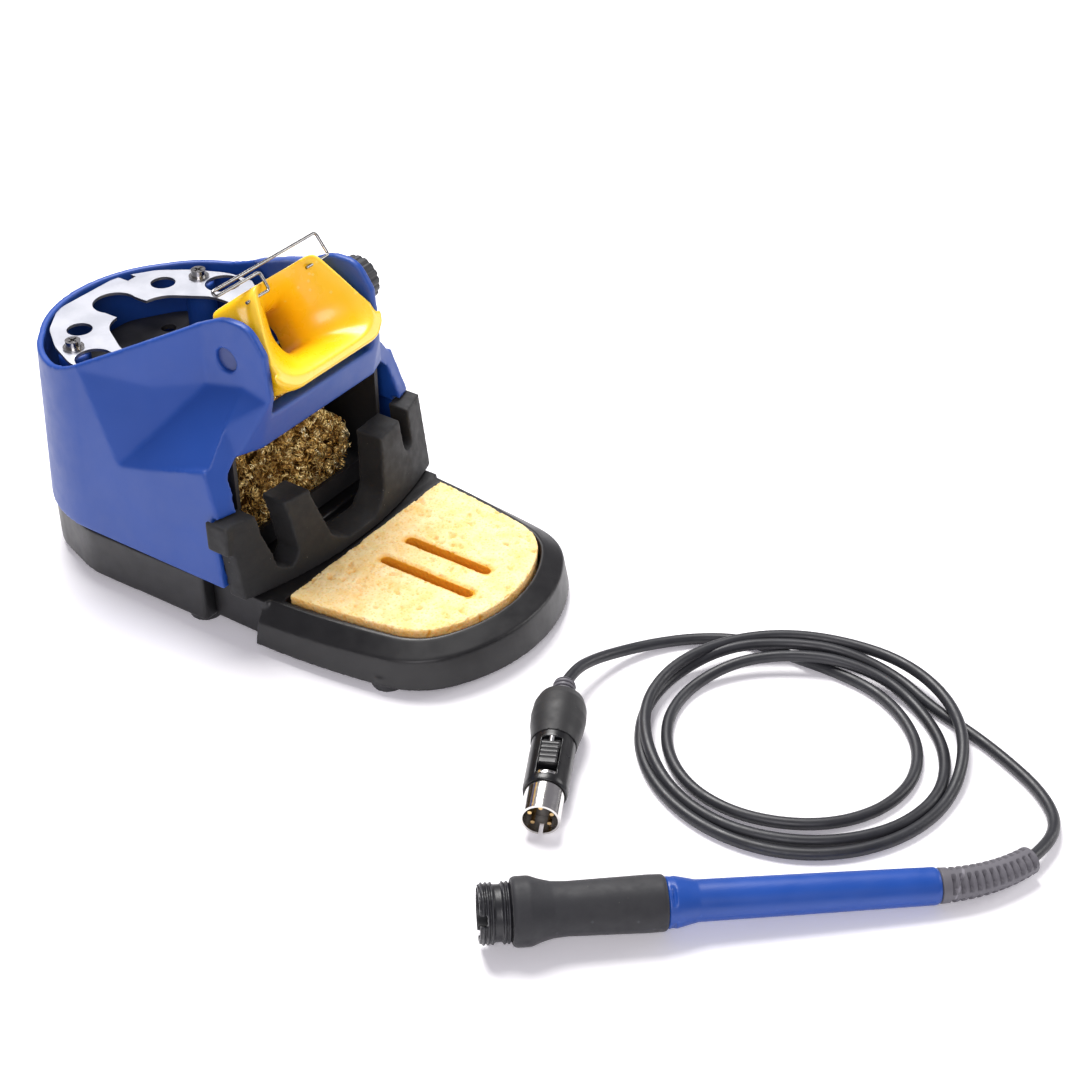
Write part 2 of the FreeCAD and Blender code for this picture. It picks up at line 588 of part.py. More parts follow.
def wiper():
    """Rubber block with cleaning notches, bowed forward in plan and leaning back."""
    block = Part.makeLoft([wiper_outline(WIPER_FLOOR), wiper_outline(WIPER_CREST)], True, True)
    lobed = [(-45, 60), (-43.5, 42), (-41, 34), (-40, 27.5), (-34, 24.5), (-30, 29), (-31, 42), (-34, 60)]
    left_slot = front(lobed, [0, 3, 3, 2.5, 2.5, 2.5, 3, 0], -30, 30)
    middle = front([(-22, 62), (-20, 47), (-14, 28), (-6, 23.5), (10, 23.5), (17, 29), (20.5, 47), (21, 62)],
                   [0, 4, 6, 6, 6, 6, 4, 0], -30, 30)
    right_slot = front([(35, 62), (36, 36), (42, 36), (43.5, 62)], [0, 2.9, 2.9, 0], -30, 30)
    return block.cut(left_slot).cut(middle).cut(right_slot)


def tray_ring(insets, levels, back=TRAY_BACK):
    """D-shaped outline; its inset and height may change from the back to the front."""
    right = []
    for x, y, face_x, face_y in TRAY_SHAPE:
        share = (y - TRAY_BACK) / (TRAY_FRONT - TRAY_BACK)
        inset = mix(*insets, share)
        y -= face_y * inset
        level = mix(*levels, (y - TRAY_BACK) / (TRAY_FRONT - TRAY_BACK))
        right.append(Vector(x - face_x * inset, y, level))
    right[0].y = back
    left = [Vector(-spot.x, spot.y, spot.z) for spot in right]
    return Part.Wire([
        Part.LineSegment(left[0], right[0]).toShape(),
        Part.Arc(right[0], right[1], right[2]).toShape(),
        Part.Arc(right[2], right[3], right[4]).toShape(),
        Part.Arc(right[4], right[5], left[4]).toShape(),
        Part.Arc(left[4], left[3], left[2]).toShape(),
        Part.Arc(left[2], left[1], left[0]).toShape(),
    ])


def tray_prism(inset, low, high, back=TRAY_BACK):
    return Part.Face(tray_ring((inset, inset), (low, low), back)).extrude(Vector(0, 0, high - low))


def sponge_tray():
    """Tray with a bevelled rim, a neck that carries the wiper and a tongue into the base."""
    edge = tray_ring((TRAY_DRAFT, TRAY_DRAFT), TRAY_EDGE_Z)
    body = Part.makeLoft([tray_ring((0.0, 0.0), (TRAY_Z0, TRAY_Z0)), edge], True, True)
    bevel = Part.makeLoft([edge, tray_ring(TRAY_BEVEL, (TRAY_TOP, TRAY_TOP))], True, True)
    seat = WIPER_FLOOR - GAP
    neck = box(-NECK_HALF, NECK_HALF, TRAY_BACK - 2, BASE_SPLIT_Y - GAP, TRAY_Z0, seat)
    heel = box(-NECK_HALF, NECK_HALF, wiper_back(SEAM_Z) + GAP, BASE_SPLIT_Y - GAP, seat - 1, SEAM_Z - GAP)
    half, tongue_back, tongue_low, tongue_top = TONGUE
    tongue = box(-half, half, BASE_SPLIT_Y - 3, tongue_back, tongue_low, tongue_top)
    block = joined([body, bevel, neck, heel, tongue])
    pocket = tray_prism(POCKET_INSET, SPONGE_FLOOR - GAP, 40, POCKET_BACK)
    under = tray_prism(WALL, 0, SPONGE_FLOOR - 2.6)
    hollow_neck = box(WALL - NECK_HALF, NECK_HALF - WALL, 0, BASE_SPLIT_Y - 3, 0, seat - 2.4)
    block = block.cut(pocket).cut(under).cut(hollow_neck)
    pads = [post(x, y, TRAY_Z0, SPONGE_FLOOR - 2, FOOT_R + 1) for x, y in TRAY_FEET]
    block = joined([block] + pads)
    for x, y in TRAY_FEET:
        block = block.cut(post(x, y, 0, FOOT_H + 1.2, FOOT_R + 0.1))
    return block


def sponge():
    pad = tray_prism(SPONGE_INSET, SPONGE_FLOOR, SPONGE_TOP, SPONGE_BACK)
    for x, near in SLITS:
        edges = (x - SLIT_W / 2, x + SLIT_W / 2)
        slit = [(edges[0], near), (edges[1], near), (edges[1], SLIT_BACK), (edges[0], SLIT_BACK)]
        pad = pad.cut(plan(slit, SLIT_W / 2 - 0.1, SPONGE_FLOOR - 1, SPONGE_TOP + 1))
    return pad


# ---- handpiece -------------------------------------------------------------------
def place(shape, at, heading, tilt, height):
    turn = FreeCAD.Rotation(Vector(0, 0, 1), heading) * FreeCAD.Rotation(Vector(0, 1, 0), tilt)
    shape = shape.copy()
    shape.Placement = FreeCAD.Placement(Vector(at.x, at.y, height), turn)
    return shape


def hand(shape):
    height = FLARE_R + 0.15 + FLARE_AT * math.sin(math.radians(HAND_TILT))
    return place(shape, NOSE_FRONT, HAND_HEADING, HAND_TILT, height)


def nose_socket():
    """Threaded nose that the tip's cartridge and its nut screw on to."""
    profile = [(0, 7.4), (0, 9.0)]
    for station in (0.6, 2.0, 3.4, 7.0, 8.4):
        profile += [(station, 8.7), (station + 0.35, 9.5), (station + 0.8, 9.5), (station + 1.15, 8.7)]
    profile += [(11.5, 8.6), (11.5, 7.8), (42, 7.0), (42, 5.5), (13, 6.2), (13, 7.4)]
    nose = turned(profile)
    for angle in (0, 120, 240):
        notch = box(-1, 2.4, -1.6, 1.6, 5, 12)
        notch.rotate(Vector(), Vector(1, 0, 0), angle + 60)
        nose = nose.cut(notch)
    return nose


def grip():
    """Rubber sleeve, flared behind the nose and waisted where it is held."""
    return turned([(9.8, 8.75), (10.2, FLARE_R - 0.5), (11.2, FLARE_R), (15.6, FLARE_R), (18.6, 9.6),
                   (22.5, 8.6), (27, 8.35), (52, 8.85), (56.6, 8.75), (57.4, 8.3), (57.4, 7.1), (42.1, 7.1),
                   (11.6, 7.85), (11.6, 8.7)])


def handle_shell():
    """Slim blue tube with a slotted collar behind the grip."""
    end = HAND_LENGTH
    profile = [(57.5, 5.6), (57.5, 8.0), (60.2, 8.05), (64, 7.2), (67, 6.5), (110, 6.2), (end - 1.2, 5.9),
               (end, 5.4), (end, 4.5), (68, 4.6), (64, 5.6)]
    shell = turned(profile)
    for step in range(4):
        slot = box(58.6, 59.8, -4.0, 4.0, 7.2, 9)
        slot.rotate(Vector(), Vector(1, 0, 0), 90 * step + 30)
        shell = shell.cut(slot)
    neck = tube(43, 57.5, 6.9, 5.6)
    return joined([shell, neck])


def cartridge_stop():
    """Insulating block in the grip that the tip's contacts push into."""
    block = turned([(43.2, 0), (43.2, 5.5), (62, 5.5), (67, 4.4), (78, 4.4), (78, 0)])
    return block.cut(rod((40, 0, 0), (62, 0, 0), 2.9)).cut(joined(contact_rods()))


def contact_rods():
    return [rod((42.0, 4.1 * math.cos(angle), 4.1 * math.sin(angle)),
                (56.0, 4.1 * math.cos(angle), 4.1 * math.sin(angle)), 0.6)
            for angle in (0, 2 * math.pi / 3, 4 * math.pi / 3)]


def contact_pins():
    return Part.makeCompound(contact_rods())


def cord_clamp():
    """Crimped band that holds the cord's jacket inside the handle."""
    return tube(120, 128, 3.6, CORD_D / 2 + 0.02)


def inner_lead():
    """Cord inside the handle, from the terminals to the strain relief."""
    return rod((79, 0, 0), (HAND_LENGTH + 0.5, 0, 0), CORD_D / 2)


def relief_path():
    """Arc on the bench plane from the handle's end to the cord's exit."""
    heading = math.radians(HAND_HEADING)
    level = math.radians(HAND_TILT)
    along = (HAND_LENGTH + GAP) * math.cos(level)
    height = FLARE_R + 0.15 + (FLARE_AT - HAND_LENGTH) * math.sin(level)
    start = Vector(NOSE_FRONT.x + along * math.cos(heading), NOSE_FRONT.y + along * math.sin(heading), height)
    turn = math.radians(RELIEF_TURN)
    radius = RELIEF_LENGTH / turn

    def at(share):
        chord = 2 * radius * math.sin(turn * share / 2)
        way = heading + turn * share / 2
        drop = (height - RELIEF_END_Z) * share
        return start + Vector(chord * math.cos(way), chord * math.sin(way), -drop)

    return at


def strain_relief():
    """Bent tapered sleeve made of short segments, with a collar inside the handle."""
    at = relief_path()
    steps = 11
    pieces = []
    for step in range(steps):
        start, finish = at(step / steps), at((step + 1) / steps)
        outer = mix(5.7, 3.9, step / (steps - 1))
        pieces.append(Part.makeCylinder(outer, (finish - start).Length + 0.15, start, finish - start))
    collar = hand(tube(137, HAND_LENGTH + 0.5, 4.4, 1.0))
    return joined(pieces + [collar])


# ---- cord ---------------------------------------------------------------------
def cord_tube(route, name):
    """Tube along straight runs joined by tangent arcs as large as the runs allow."""
    points = [Vector(*point) for point in route]
    radii = [0.0]
    for before, here, after in zip(points, points[1:], points[2:]):
        turn = (here - before).getAngle(after - here)
        shorter = min((here - before).Length, (after - here).Length)
        radii.append(0.45 * shorter / math.tan(turn / 2))
    radii.append(0.0)
    path = rounded_wire(route, radii, closed=False)
    start = Part.Wire(Part.makeCircle(CORD_D / 2, points[0], points[1] - points[0]))
    solid = path.makePipeShell([start], True, False)
    ideal = math.pi * (CORD_D / 2) ** 2 * path.Length
    print(name, "radii", [round(radius, 1) for radius in radii[1:-1]], "length", round(path.Length, 1),
          "volume ratio", round(solid.Volume / ideal, 4))
    return solid


def cord_coil():
    x, y, radius = COIL_HOLE
    ring = Part.makeCylinder(COIL_OUTER_R, COIL_H, COIL_CENTRE + Vector(0, 0, 0.05))
    ring = ring.cut(post(x, y, -1, COIL_H + 1, radius))
    return ring.makeFillet(3.5, [edge for edge in ring.Edges if isinstance(edge.Curve, Part.Circle)])


# ---- plug ----------------------------------------------------------------------
def plug(shape):
    height = PLUG_BOOT_R + 0.3 - PLUG_BOOT_AT * math.sin(math.radians(-PLUG_TILT))
    rolled = shape.copy()
    rolled.rotate(Vector(), Vector(1, 0, 0), PLUG_ROLL)
    return place(rolled, PLUG_FRONT, PLUG_HEADING, PLUG_TILT, height)


def plug_shell():
    shell = tube(0, 16.5, PLUG_SHELL_R, PLUG_SHELL_R - 0.8)
    key = box(-1, 4, -0.7, 0.7, -8, -4)
    return shell.cut(key)


def plug_insulator():
    block = rod((7.5, 0, 0), (16.5, 0, 0), PLUG_SHELL_R - 0.85)
    return block.cut(joined(pin_rods(6, 20, 0.72)))


def pin_rods(start, finish, radius):
    angles = [math.radians(67.5 * step - 45) for step in range(5)]
    return [rod((start, 3.9 * math.cos(angle), 3.9 * math.sin(angle)),
                (finish, 3.9 * math.cos(angle), 3.9 * math.sin(angle)), radius) for angle in angles]


def plug_pins():
    return Part.makeCompound(pin_rods(1.5, 19, 0.7))


def plug_body():
    body = turned([(11.5, PLUG_SHELL_R + 0.05), (11.5, 7.3), (13, 7.6), (36, 7.6), (36, 4.3), (20, 4.3),
                   (20, 4.9), (16.7, 4.9), (16.7, PLUG_SHELL_R + 0.05)])
    channel = box(14.5, 31.5, -3.3, 3.3, 5.4, 10)
    return body.cut(channel)


def plug_latch():
    """Ribbed slider that frees the plug from its socket."""
    slider = box(18.0, 28.0, -3.0, 3.0, 5.7, 8.6)
    for station in (20.0, 22.0, 24.0, 26.0):
        slider = slider.cut(box(station, station + 0.8, -4, 4, 8.0, 9))
    return slider


def plug_latch_spring():
    return rod((28.05, 0, 6.9), (31.4, 0, 6.9), 0.9)


def plug_boot():
    """Bulb-shaped rubber boot over the back of the plug's body."""
    return turned([(34.2, 7.65), (34.2, 7.9), (38, 8.35), (42.5, 9.15), (PLUG_BOOT_AT, PLUG_BOOT_R), (52, 9.2),
                   (55.5, 8.1), (57.2, 6.4), (57.5, 5.0), (57.5, 2.2), (36.1, 2.2), (36.1, 7.65)])


def plug_strain_relief():
    profile = [(57.6, 2.1), (57.6, 4.2)]
    for station in (58.6, 60.4, 62.2, 64.0):
        profile += [(station, 4.1), (station, 2.9), (station + 0.7, 2.9), (station + 0.7, 3.9)]
    profile += [(65.0, 3.6), (65.0, 2.1)]
    return turned(profile)


def plug_lead():
    return rod((20, 0, 0), (PLUG_LENGTH, 0, 0), CORD_D / 2)


# ---- the pieces ------------------------------------------------------------------
def build():
    lead = hand(inner_lead())
    stand = {
        "housing": housing(),
        "base": base(),
        "base_feet": feet(FEET),
        "base_screws": base_screws(),
        "ballast_plate": ballast_plate(),
        "ballast_screws": ballast_screws(),
        "cleaner_bin": cleaner_bin(),
        "brass_wool": brass_wool(),
        "tip_plate": tip_plate(),
        "tip_plate_screws": tip_plate_screws(),
        "lower_tip_rack": lower_tip_rack(),
        "receptacle": receptacle(),
        "pivot_pin": pivot_pin(),
        "pivot_bush": pivot_bush(),
        "lock_nut": lock_nut(),
        "friction_washer": friction_washer(),
        "knob": knob(),
        "knob_screw": knob_screw(),
        "rest_wire": rest_wire(),
        "wiper": wiper(),
        "sponge_tray": sponge_tray(),
        "tray_feet": feet(TRAY_FEET),
        "sponge": sponge(),
    }
    pieces = {}
    for name, shape in stand.items():
        shape = shape.copy()
        shape.translate(STAND_AT)
        pieces[name] = shape
    pieces.update({
        "nose_socket": hand(nose_socket()),
        "grip": hand(grip()),
        "handle_shell": hand(handle_shell()),
        "cartridge_stop": hand(cartridge_stop()),
        "contact_pins": hand(contact_pins()),
        "cord_clamp": hand(cord_clamp()),
        "inner_lead": lead,
        "strain_relief": strain_relief().cut(lead),
        "cord_to_handle": cord_tube(HANDLE_ROUTE, "cord_to_handle"),
        "cord_coil": cord_coil(),
        "cord_to_plug": cord_tube(PLUG_ROUTE, "cord_to_plug"),
        "plug_strain_relief": plug(plug_strain_relief()),
        "plug_boot": plug(plug_boot()),
        "plug_body": plug(plug_body()),
        "plug_latch": plug(plug_latch()),
        "plug_latch_spring": plug(plug_latch_spring()),
        "plug_shell": plug(plug_shell()),
        "plug_insulator": plug(plug_insulator()),
        "plug_pins": plug(plug_pins()),
        "plug_lead": plug(plug_lead()),
    })
    return pieces


os.makedirs("parts", exist_ok=True)
for name, shape in build().items():
    box_of = shape.BoundBox
    print(f"{name:20s} valid {shape.isValid()} solids {len(shape.Solids)} "
          f"x {box_of.XMin:.1f}..{box_of.XMax:.1f} y {box_of.YMin:.1f}..{box_of.YMax:.1f} "
          f"z {box_of.ZMin:.2f}..{box_of.ZMax:.2f}")
    shape.exportStep(f"parts/{name}.step")
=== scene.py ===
import math
import random

import bmesh
import bpy
from mathutils import Matrix, Vector, noise
from mathutils.bvhtree import BVHTree


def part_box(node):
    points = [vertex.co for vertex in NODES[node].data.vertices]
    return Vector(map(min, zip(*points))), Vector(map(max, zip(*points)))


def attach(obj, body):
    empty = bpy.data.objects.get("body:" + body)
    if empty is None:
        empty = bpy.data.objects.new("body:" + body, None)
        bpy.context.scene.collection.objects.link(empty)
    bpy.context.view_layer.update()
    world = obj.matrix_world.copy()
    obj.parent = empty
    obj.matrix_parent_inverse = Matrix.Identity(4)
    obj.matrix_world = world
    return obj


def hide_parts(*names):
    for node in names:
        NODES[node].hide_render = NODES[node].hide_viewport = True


# Soldering iron station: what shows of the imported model, with soft moulded edges,
# curled brass wool, a porous sponge and one real cord, lit on a pale floor.
# Metres. Sizes that belong to the object are written in millimetres times MM.

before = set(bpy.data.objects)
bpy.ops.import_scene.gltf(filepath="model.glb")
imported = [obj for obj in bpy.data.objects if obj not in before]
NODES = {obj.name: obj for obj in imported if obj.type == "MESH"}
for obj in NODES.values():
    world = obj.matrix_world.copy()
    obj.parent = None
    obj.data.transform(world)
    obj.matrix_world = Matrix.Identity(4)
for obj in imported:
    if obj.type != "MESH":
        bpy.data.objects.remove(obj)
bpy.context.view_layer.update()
scene = bpy.context.scene
MM = 0.001

STAND_AT = Vector((38.0, 77.7, 0.0))     # stand's own centre line, in the row frame, mm

CAMERA_AT = Vector((-0.4295, -0.3406, 0.450))
CAMERA_HEADING, CAMERA_DROP, CAMERA_ROLL = -55.0, 35.0, -0.6
CAMERA_LENS = 66.67

CORD_D = 4.1
CORD_LOW = 2.1                           # height of the cord's middle where it lies on the bench
HANDLE_ROUTE = (
    (32.5, -203.6, 5.0), (44.5, -206.0, 4.2), (57.5, -202.6, 2.9), (68.0, -192.5, CORD_LOW),
    (75.8, -177.5, CORD_LOW), (82.2, -161.5, CORD_LOW), (86.4, -146.0, CORD_LOW),
)
PLUG_ROUTE = (
    (84.8, -87.0, CORD_LOW), (84.2, -71.5, CORD_LOW), (76.0, -57.5, CORD_LOW), (64.3, -46.6, 2.6),
    (51.5, -39.6, 4.2), (38.5, -36.0, 7.4), (26.5, -35.5, 10.3), (17.31, -37.65, 10.9),
)
COIL_CENTRE = Vector((45.0, -114.3, 0.0))
COIL_FROM, COIL_TO, COIL_STEP = -14.0, 1094.0, 24.0
COIL_RADII = (                           # angle round the coil and the loop's radius there
    (-30, 50.5), (30, 48.0), (90, 53.5), (150, 53.3), (210, 54.8), (270, 55.2), (330, 55.8), (390, 52.2),
    (450, 53.5), (510, 50.2), (570, 48.6), (630, 51.5), (690, 46.5), (750, 41.3), (810, 44.8),
    (870, 43.8), (930, 40.8), (990, 41.4), (1050, 39.2), (1100, 41.0),
)
COIL_HEIGHTS = (                         # angle round the coil and the cord's height there
    (-30, 2.1), (-2, 4.4), (14, 6.5), (54, 6.5), (84, 2.1), (276, 2.1), (300, 6.3), (344, 6.6), (374, 6.4),
    (400, 7.4), (440, 6.6), (490, 5.6), (525, 2.1), (694, 2.1), (718, 6.3), (768, 6.4), (796, 2.1),
    (1110, 2.1),
)


# ---- camera, floor and light ---------------------------------------------------
SKY, SKY_STRENGTH = (0.93, 0.9, 1.0, 1.0), 0.26
FLOOR_GLOW, FLOOR_GLOW_STRENGTH = (0.93, 0.88, 1.0, 1.0), 0.12
FLOOR_HALF = 3.0
AREA_LIGHTS = (                          # name, place, target, size, power, colour
    ("key", (0.4, 0.5, 1.2), (0.02, -0.02, 0.03), 0.8, 26.0, (1.0, 0.985, 0.975)),
    ("left_panel", (-1.0, -0.55, 0.8), (0.03, 0.05, 0.04), 0.7, 8.0, (1.0, 0.97, 1.0)),
    ("side_fill", (0.85, -0.75, 0.5), (0.02, -0.05, 0.03), 0.5, 3.5, (1.0, 0.99, 0.97)),
)


def turned(degrees, axis):
    return Matrix.Rotation(math.radians(degrees), 4, axis)


def add_object(name, data):
    obj = bpy.data.objects.new(name, data)
    scene.collection.objects.link(obj)
    return obj


def add_camera():
    data = bpy.data.cameras.new("camera")
    data.sensor_width = 36.0
    data.lens = CAMERA_LENS
    data.clip_start = 0.01
    camera = add_object("camera", data)
    aim = turned(CAMERA_HEADING, "Z") @ turned(90 - CAMERA_DROP, "X") @ turned(CAMERA_ROLL, "Z")
    camera.matrix_world = Matrix.Translation(CAMERA_AT) @ aim
    scene.camera = camera


def add_area_light(name, place, target, size, power, colour):
    data = bpy.data.lights.new(name, "AREA")
    data.shape = "DISK"
    data.size = size
    data.energy = power
    data.color = colour
    light = add_object(name, data)
    light.location = place
    light.rotation_euler = (Vector(target) - Vector(place)).to_track_quat("-Z", "Y").to_euler()


def add_studio():
    scene.view_settings.view_transform = "Standard"
    world = bpy.data.worlds.new("studio")
    world.use_nodes = True
    background = world.node_tree.nodes["Background"]
    background.inputs["Color"].default_value = SKY
    background.inputs["Strength"].default_value = SKY_STRENGTH
    scene.world = world
    for light in AREA_LIGHTS:
        add_area_light(*light)
    mesh = bpy.data.meshes.new("floor")
    half = FLOOR_HALF
    corners = [(-half, -half, 0), (half, -half, 0), (half, half, 0), (-half, half, 0)]
    mesh.from_pydata(corners, [], [(0, 1, 2, 3)])
    floor = add_object("floor", mesh)
    finish = Finish("studio_floor")
    finish.set(Roughness=0.85, Emission_Color=FLOOR_GLOW, Emission_Strength=FLOOR_GLOW_STRENGTH)
    finish.shader.inputs["Specular IOR Level"].default_value = 0.1
    tone = finish.ramp(finish.noise(3.0, 2.0), [(0.3, (0.97, 0.965, 0.98)), (0.7, (0.98, 0.975, 0.985))])
    finish.join(tone, finish.shader, "Base Color")
    mesh.materials.append(finish.material)


# ---- materials --------------------------------------------------------------------
class Finish:
    """A Principled material, with short ways to add the nodes that drive it."""

    def __init__(self, name):
        self.material = bpy.data.materials.new(name)
        self.material.use_nodes = True
        self.tree = self.material.node_tree
        self.shader = self.tree.nodes["Principled BSDF"]
        self.place = self.add("ShaderNodeTexCoord").outputs["Object"]

    def set(self, **values):
        for name, value in values.items():
            self.shader.inputs[name.replace("_", " ")].default_value = value

    def add(self, kind, **settings):
        made = self.tree.nodes.new(kind)
        for name, value in settings.items():
            setattr(made, name, value)
        return made

    def join(self, source, target, socket):
        self.tree.links.new(source, target.inputs[socket])

    def noise(self, scale, detail=3.0, roughness=0.55, place=None):
        made = self.add("ShaderNodeTexNoise")
        made.inputs["Scale"].default_value = scale
        made.inputs["Detail"].default_value = detail
        made.inputs["Roughness"].default_value = roughness
        self.join(place or self.place, made, "Vector")
        return made.outputs["Fac"]

    def cells(self, scale, feature="F1", randomness=1.0):
        made = self.add("ShaderNodeTexVoronoi", feature=feature)
        made.inputs["Scale"].default_value = scale
        made.inputs["Randomness"].default_value = randomness
        self.join(self.place, made, "Vector")
        return made.outputs["Distance"]

    def stretched(self, scale):
        made = self.add("ShaderNodeMapping")
        made.inputs["Scale"].default_value = scale
        self.join(self.place, made, "Vector")
        return made.outputs["Vector"]

    def ramp(self, source, stops):
        made = self.add("ShaderNodeValToRGB")
        elements = made.color_ramp.elements
        while len(elements) < len(stops):
            elements.new(0.5)
        for element, (position, colour) in zip(elements, stops):
            element.position = position
            element.color = (*colour, 1.0)
        self.join(source, made, "Fac")
        return made.outputs["Color"]

    def spread(self, source, low, high, start=0.3, end=0.7):
        made = self.add("ShaderNodeMapRange")
        for name, value in (("From Min", start), ("From Max", end), ("To Min", low), ("To Max", high)):
            made.inputs[name].default_value = value
        self.join(source, made, "Value")
        return made.outputs["Result"]

    def mix(self, share, first, second, way="MIX"):
        made = self.add("ShaderNodeMix", data_type="RGBA", blend_type=way)
        self.join(share, made, 0)
        for index, value in ((6, first), (7, second)):
            if isinstance(value, tuple):
                made.inputs[index].default_value = (*value, 1.0)
            else:
                self.join(value, made, index)
        return made.outputs[2]

    def math(self, way, first, second):
        made = self.add("ShaderNodeMath", operation=way)
        for index, value in ((0, first), (1, second)):
            if isinstance(value, (int, float)):
                made.inputs[index].default_value = value
            else:
                self.join(value, made, index)
        return made.outputs[0]

    def edges(self, start=0.53, end=0.62):
        pointy = self.add("ShaderNodeNewGeometry").outputs["Pointiness"]
        return self.spread(pointy, 0.0, 1.0, start, end)

    def bump(self, height, strength, distance, below=None):
        made = self.add("ShaderNodeBump")
        made.inputs["Strength"].default_value = strength
        made.inputs["Distance"].default_value = distance * MM
        self.join(height, made, "Height")
        if below is not None:
            self.join(below, made, "Normal")
        return made.outputs["Normal"]


def plastic(name, colour, edge, rough=(0.34, 0.46), grain=0.12, edge_wear_and_highlight=0.6, mottle=0.88, grain_size=0.35):
    """Moulded plastic: fine mould texture, faint flow marks, lighter edges that are partly worn and partly
    painted highlight.
    """
    finish = Finish(name)
    dark = tuple(channel * mottle for channel in colour)
    tone = finish.ramp(finish.noise(38.0, 3.0), [(0.32, dark), (0.68, colour)])
    if edge_wear_and_highlight:
        share = finish.math("MULTIPLY", finish.edges(), edge_wear_and_highlight)
        tone = finish.mix(share, tone, edge)
    finish.join(tone, finish.shader, "Base Color")
    finish.join(finish.spread(finish.noise(150.0, 4.0), *rough), finish.shader, "Roughness")
    fine = finish.bump(finish.noise(1000.0 / grain_size, 2.0), grain, 0.06)
    wave = finish.bump(finish.noise(45.0, 1.0), 0.06, 0.5, fine)
    finish.join(wave, finish.shader, "Normal")
    return finish.material


def rubber(name, colour, edge, rough=(0.6, 0.8), dust=0.25, grain=0.25, sheen=0.1, edge_wear_and_highlight=0.5):
    """Rubber: matt and slightly uneven, with pale dust specks and lighter edges that are partly rubbed and
    partly painted highlight.
    """
    finish = Finish(name)
    dark = tuple(0.8 * channel for channel in colour)
    tone = finish.ramp(finish.noise(60.0, 4.0), [(0.3, dark), (0.7, colour)])
    tone = finish.mix(finish.math("MULTIPLY", finish.edges(), edge_wear_and_highlight), tone, edge)
    specks = finish.spread(finish.cells(420.0), 1.0, 0.0, 0.03, 0.1)
    patches = finish.spread(finish.noise(90.0, 2.0), 0.0, 1.0, 0.5, 0.72)
    share = finish.math("MULTIPLY", finish.math("MULTIPLY", specks, patches), dust)
    tone = finish.mix(share, tone, (0.55, 0.5, 0.42))
    finish.join(tone, finish.shader, "Base Color")
    finish.join(finish.spread(finish.noise(220.0, 4.0), *rough), finish.shader, "Roughness")
    finish.set(Sheen_Weight=sheen, Sheen_Roughness=0.5)
    finish.join(finish.bump(finish.noise(2600.0, 3.0), grain, 0.08), finish.shader, "Normal")
    return finish.material


def metal(name, colour, dull, rough=(0.16, 0.34), brush=(1.0, 1.0, 1.0), scratch=0.06, scale=900.0):
    """Metal: fine scratches along one direction and patches that are duller."""
    finish = Finish(name)
    finish.set(Metallic=1.0)
    patches = finish.noise(70.0, 4.0)
    finish.join(finish.ramp(patches, [(0.35, dull), (0.62, colour)]), finish.shader, "Base Color")
    lines = finish.noise(scale, 3.0, 0.6, finish.stretched(brush))
    finish.join(finish.spread(lines, *rough), finish.shader, "Roughness")
    finish.join(finish.bump(lines, scratch, 0.05), finish.shader, "Normal")
    return finish.material


RIM_UP = Vector((0, 0.625, 0.7806))
RIM_OUT = Vector((0, -0.7806, 0.625))
RIM_MIDDLE = Vector((38.0, 77.7 + 8.0, 109.5))


def receptacle_material():
    """Glossy yellow with painted highlight: a paler strip along the flared rim and lighter edges."""
    finish = Finish("yellow_plastic")
    tone = finish.ramp(finish.noise(30.0, 2.0), [(0.3, (0.93, 0.52, 0.004)), (0.7, (0.98, 0.58, 0.006))])
    depth = finish.add("ShaderNodeVectorMath", operation="DOT_PRODUCT")
    depth.inputs[1].default_value = RIM_OUT
    finish.join(finish.place, depth, 0)
    rim = RIM_MIDDLE.dot(RIM_OUT) * MM
    # Painted highlight: paler strip just behind the rim.
    painted_rim_highlight = finish.spread(depth.outputs["Value"], 0.0, 0.35, rim - 2.2 * MM, rim - 0.2 * MM)
    tone = finish.mix(painted_rim_highlight, tone, (1.0, 0.72, 0.12))
    # Painted highlight along the receptacle's sharp edges.
    tone = finish.mix(finish.math("MULTIPLY", finish.edges(0.52, 0.6), 0.35), tone, (1.0, 0.84, 0.3))
    finish.join(tone, finish.shader, "Base Color")
    finish.join(finish.spread(finish.noise(120.0, 3.0), 0.24, 0.34), finish.shader, "Roughness")
    finish.set(Subsurface_Weight=0.12, Subsurface_Radius=(0.004, 0.002, 0.0005), Coat_Weight=0.15)
    finish.set(Subsurface_Scale=1.0)
    fine = finish.bump(finish.noise(1800.0, 2.0), 0.05, 0.04)
    finish.join(finish.bump(finish.noise(60.0, 1.0), 0.05, 0.4, fine), finish.shader, "Normal")
    return finish.material


def sponge_material():
    """Cellulose sponge: pale on top, with painted shade in orange in its pits, its slits and down its cut
    sides.
    """
    finish = Finish("sponge_yellow")
    painted_sponge_shade = finish.add("ShaderNodeAttribute", attribute_name="sponge_shade_mask").outputs["Fac"]
    tone = finish.ramp(finish.noise(140.0, 4.0), [(0.3, (0.9, 0.62, 0.24)), (0.68, (0.98, 0.78, 0.44))])
    # Painted shade: small pits coloured darker orange.
    small = finish.spread(finish.cells(760.0), 1.0, 0.0, 0.12, 0.42)
    tone = finish.mix(finish.math("MULTIPLY", small, 0.5), tone, (0.87, 0.45, 0.06))
    tone = finish.mix(painted_sponge_shade, tone, (0.8, 0.36, 0.025))
    finish.join(tone, finish.shader, "Base Color")
    finish.set(Roughness=0.9, Subsurface_Weight=0.25, Subsurface_Radius=(0.004, 0.002, 0.0008))
    finish.set(Subsurface_Scale=1.0, Specular_IOR_Level=0.25)
    coarse = finish.bump(finish.cells(760.0), 0.7, 0.5)
    finish.join(finish.bump(finish.noise(2200.0, 3.0), 0.5, 0.2, coarse), finish.shader, "Normal")
    return finish.material


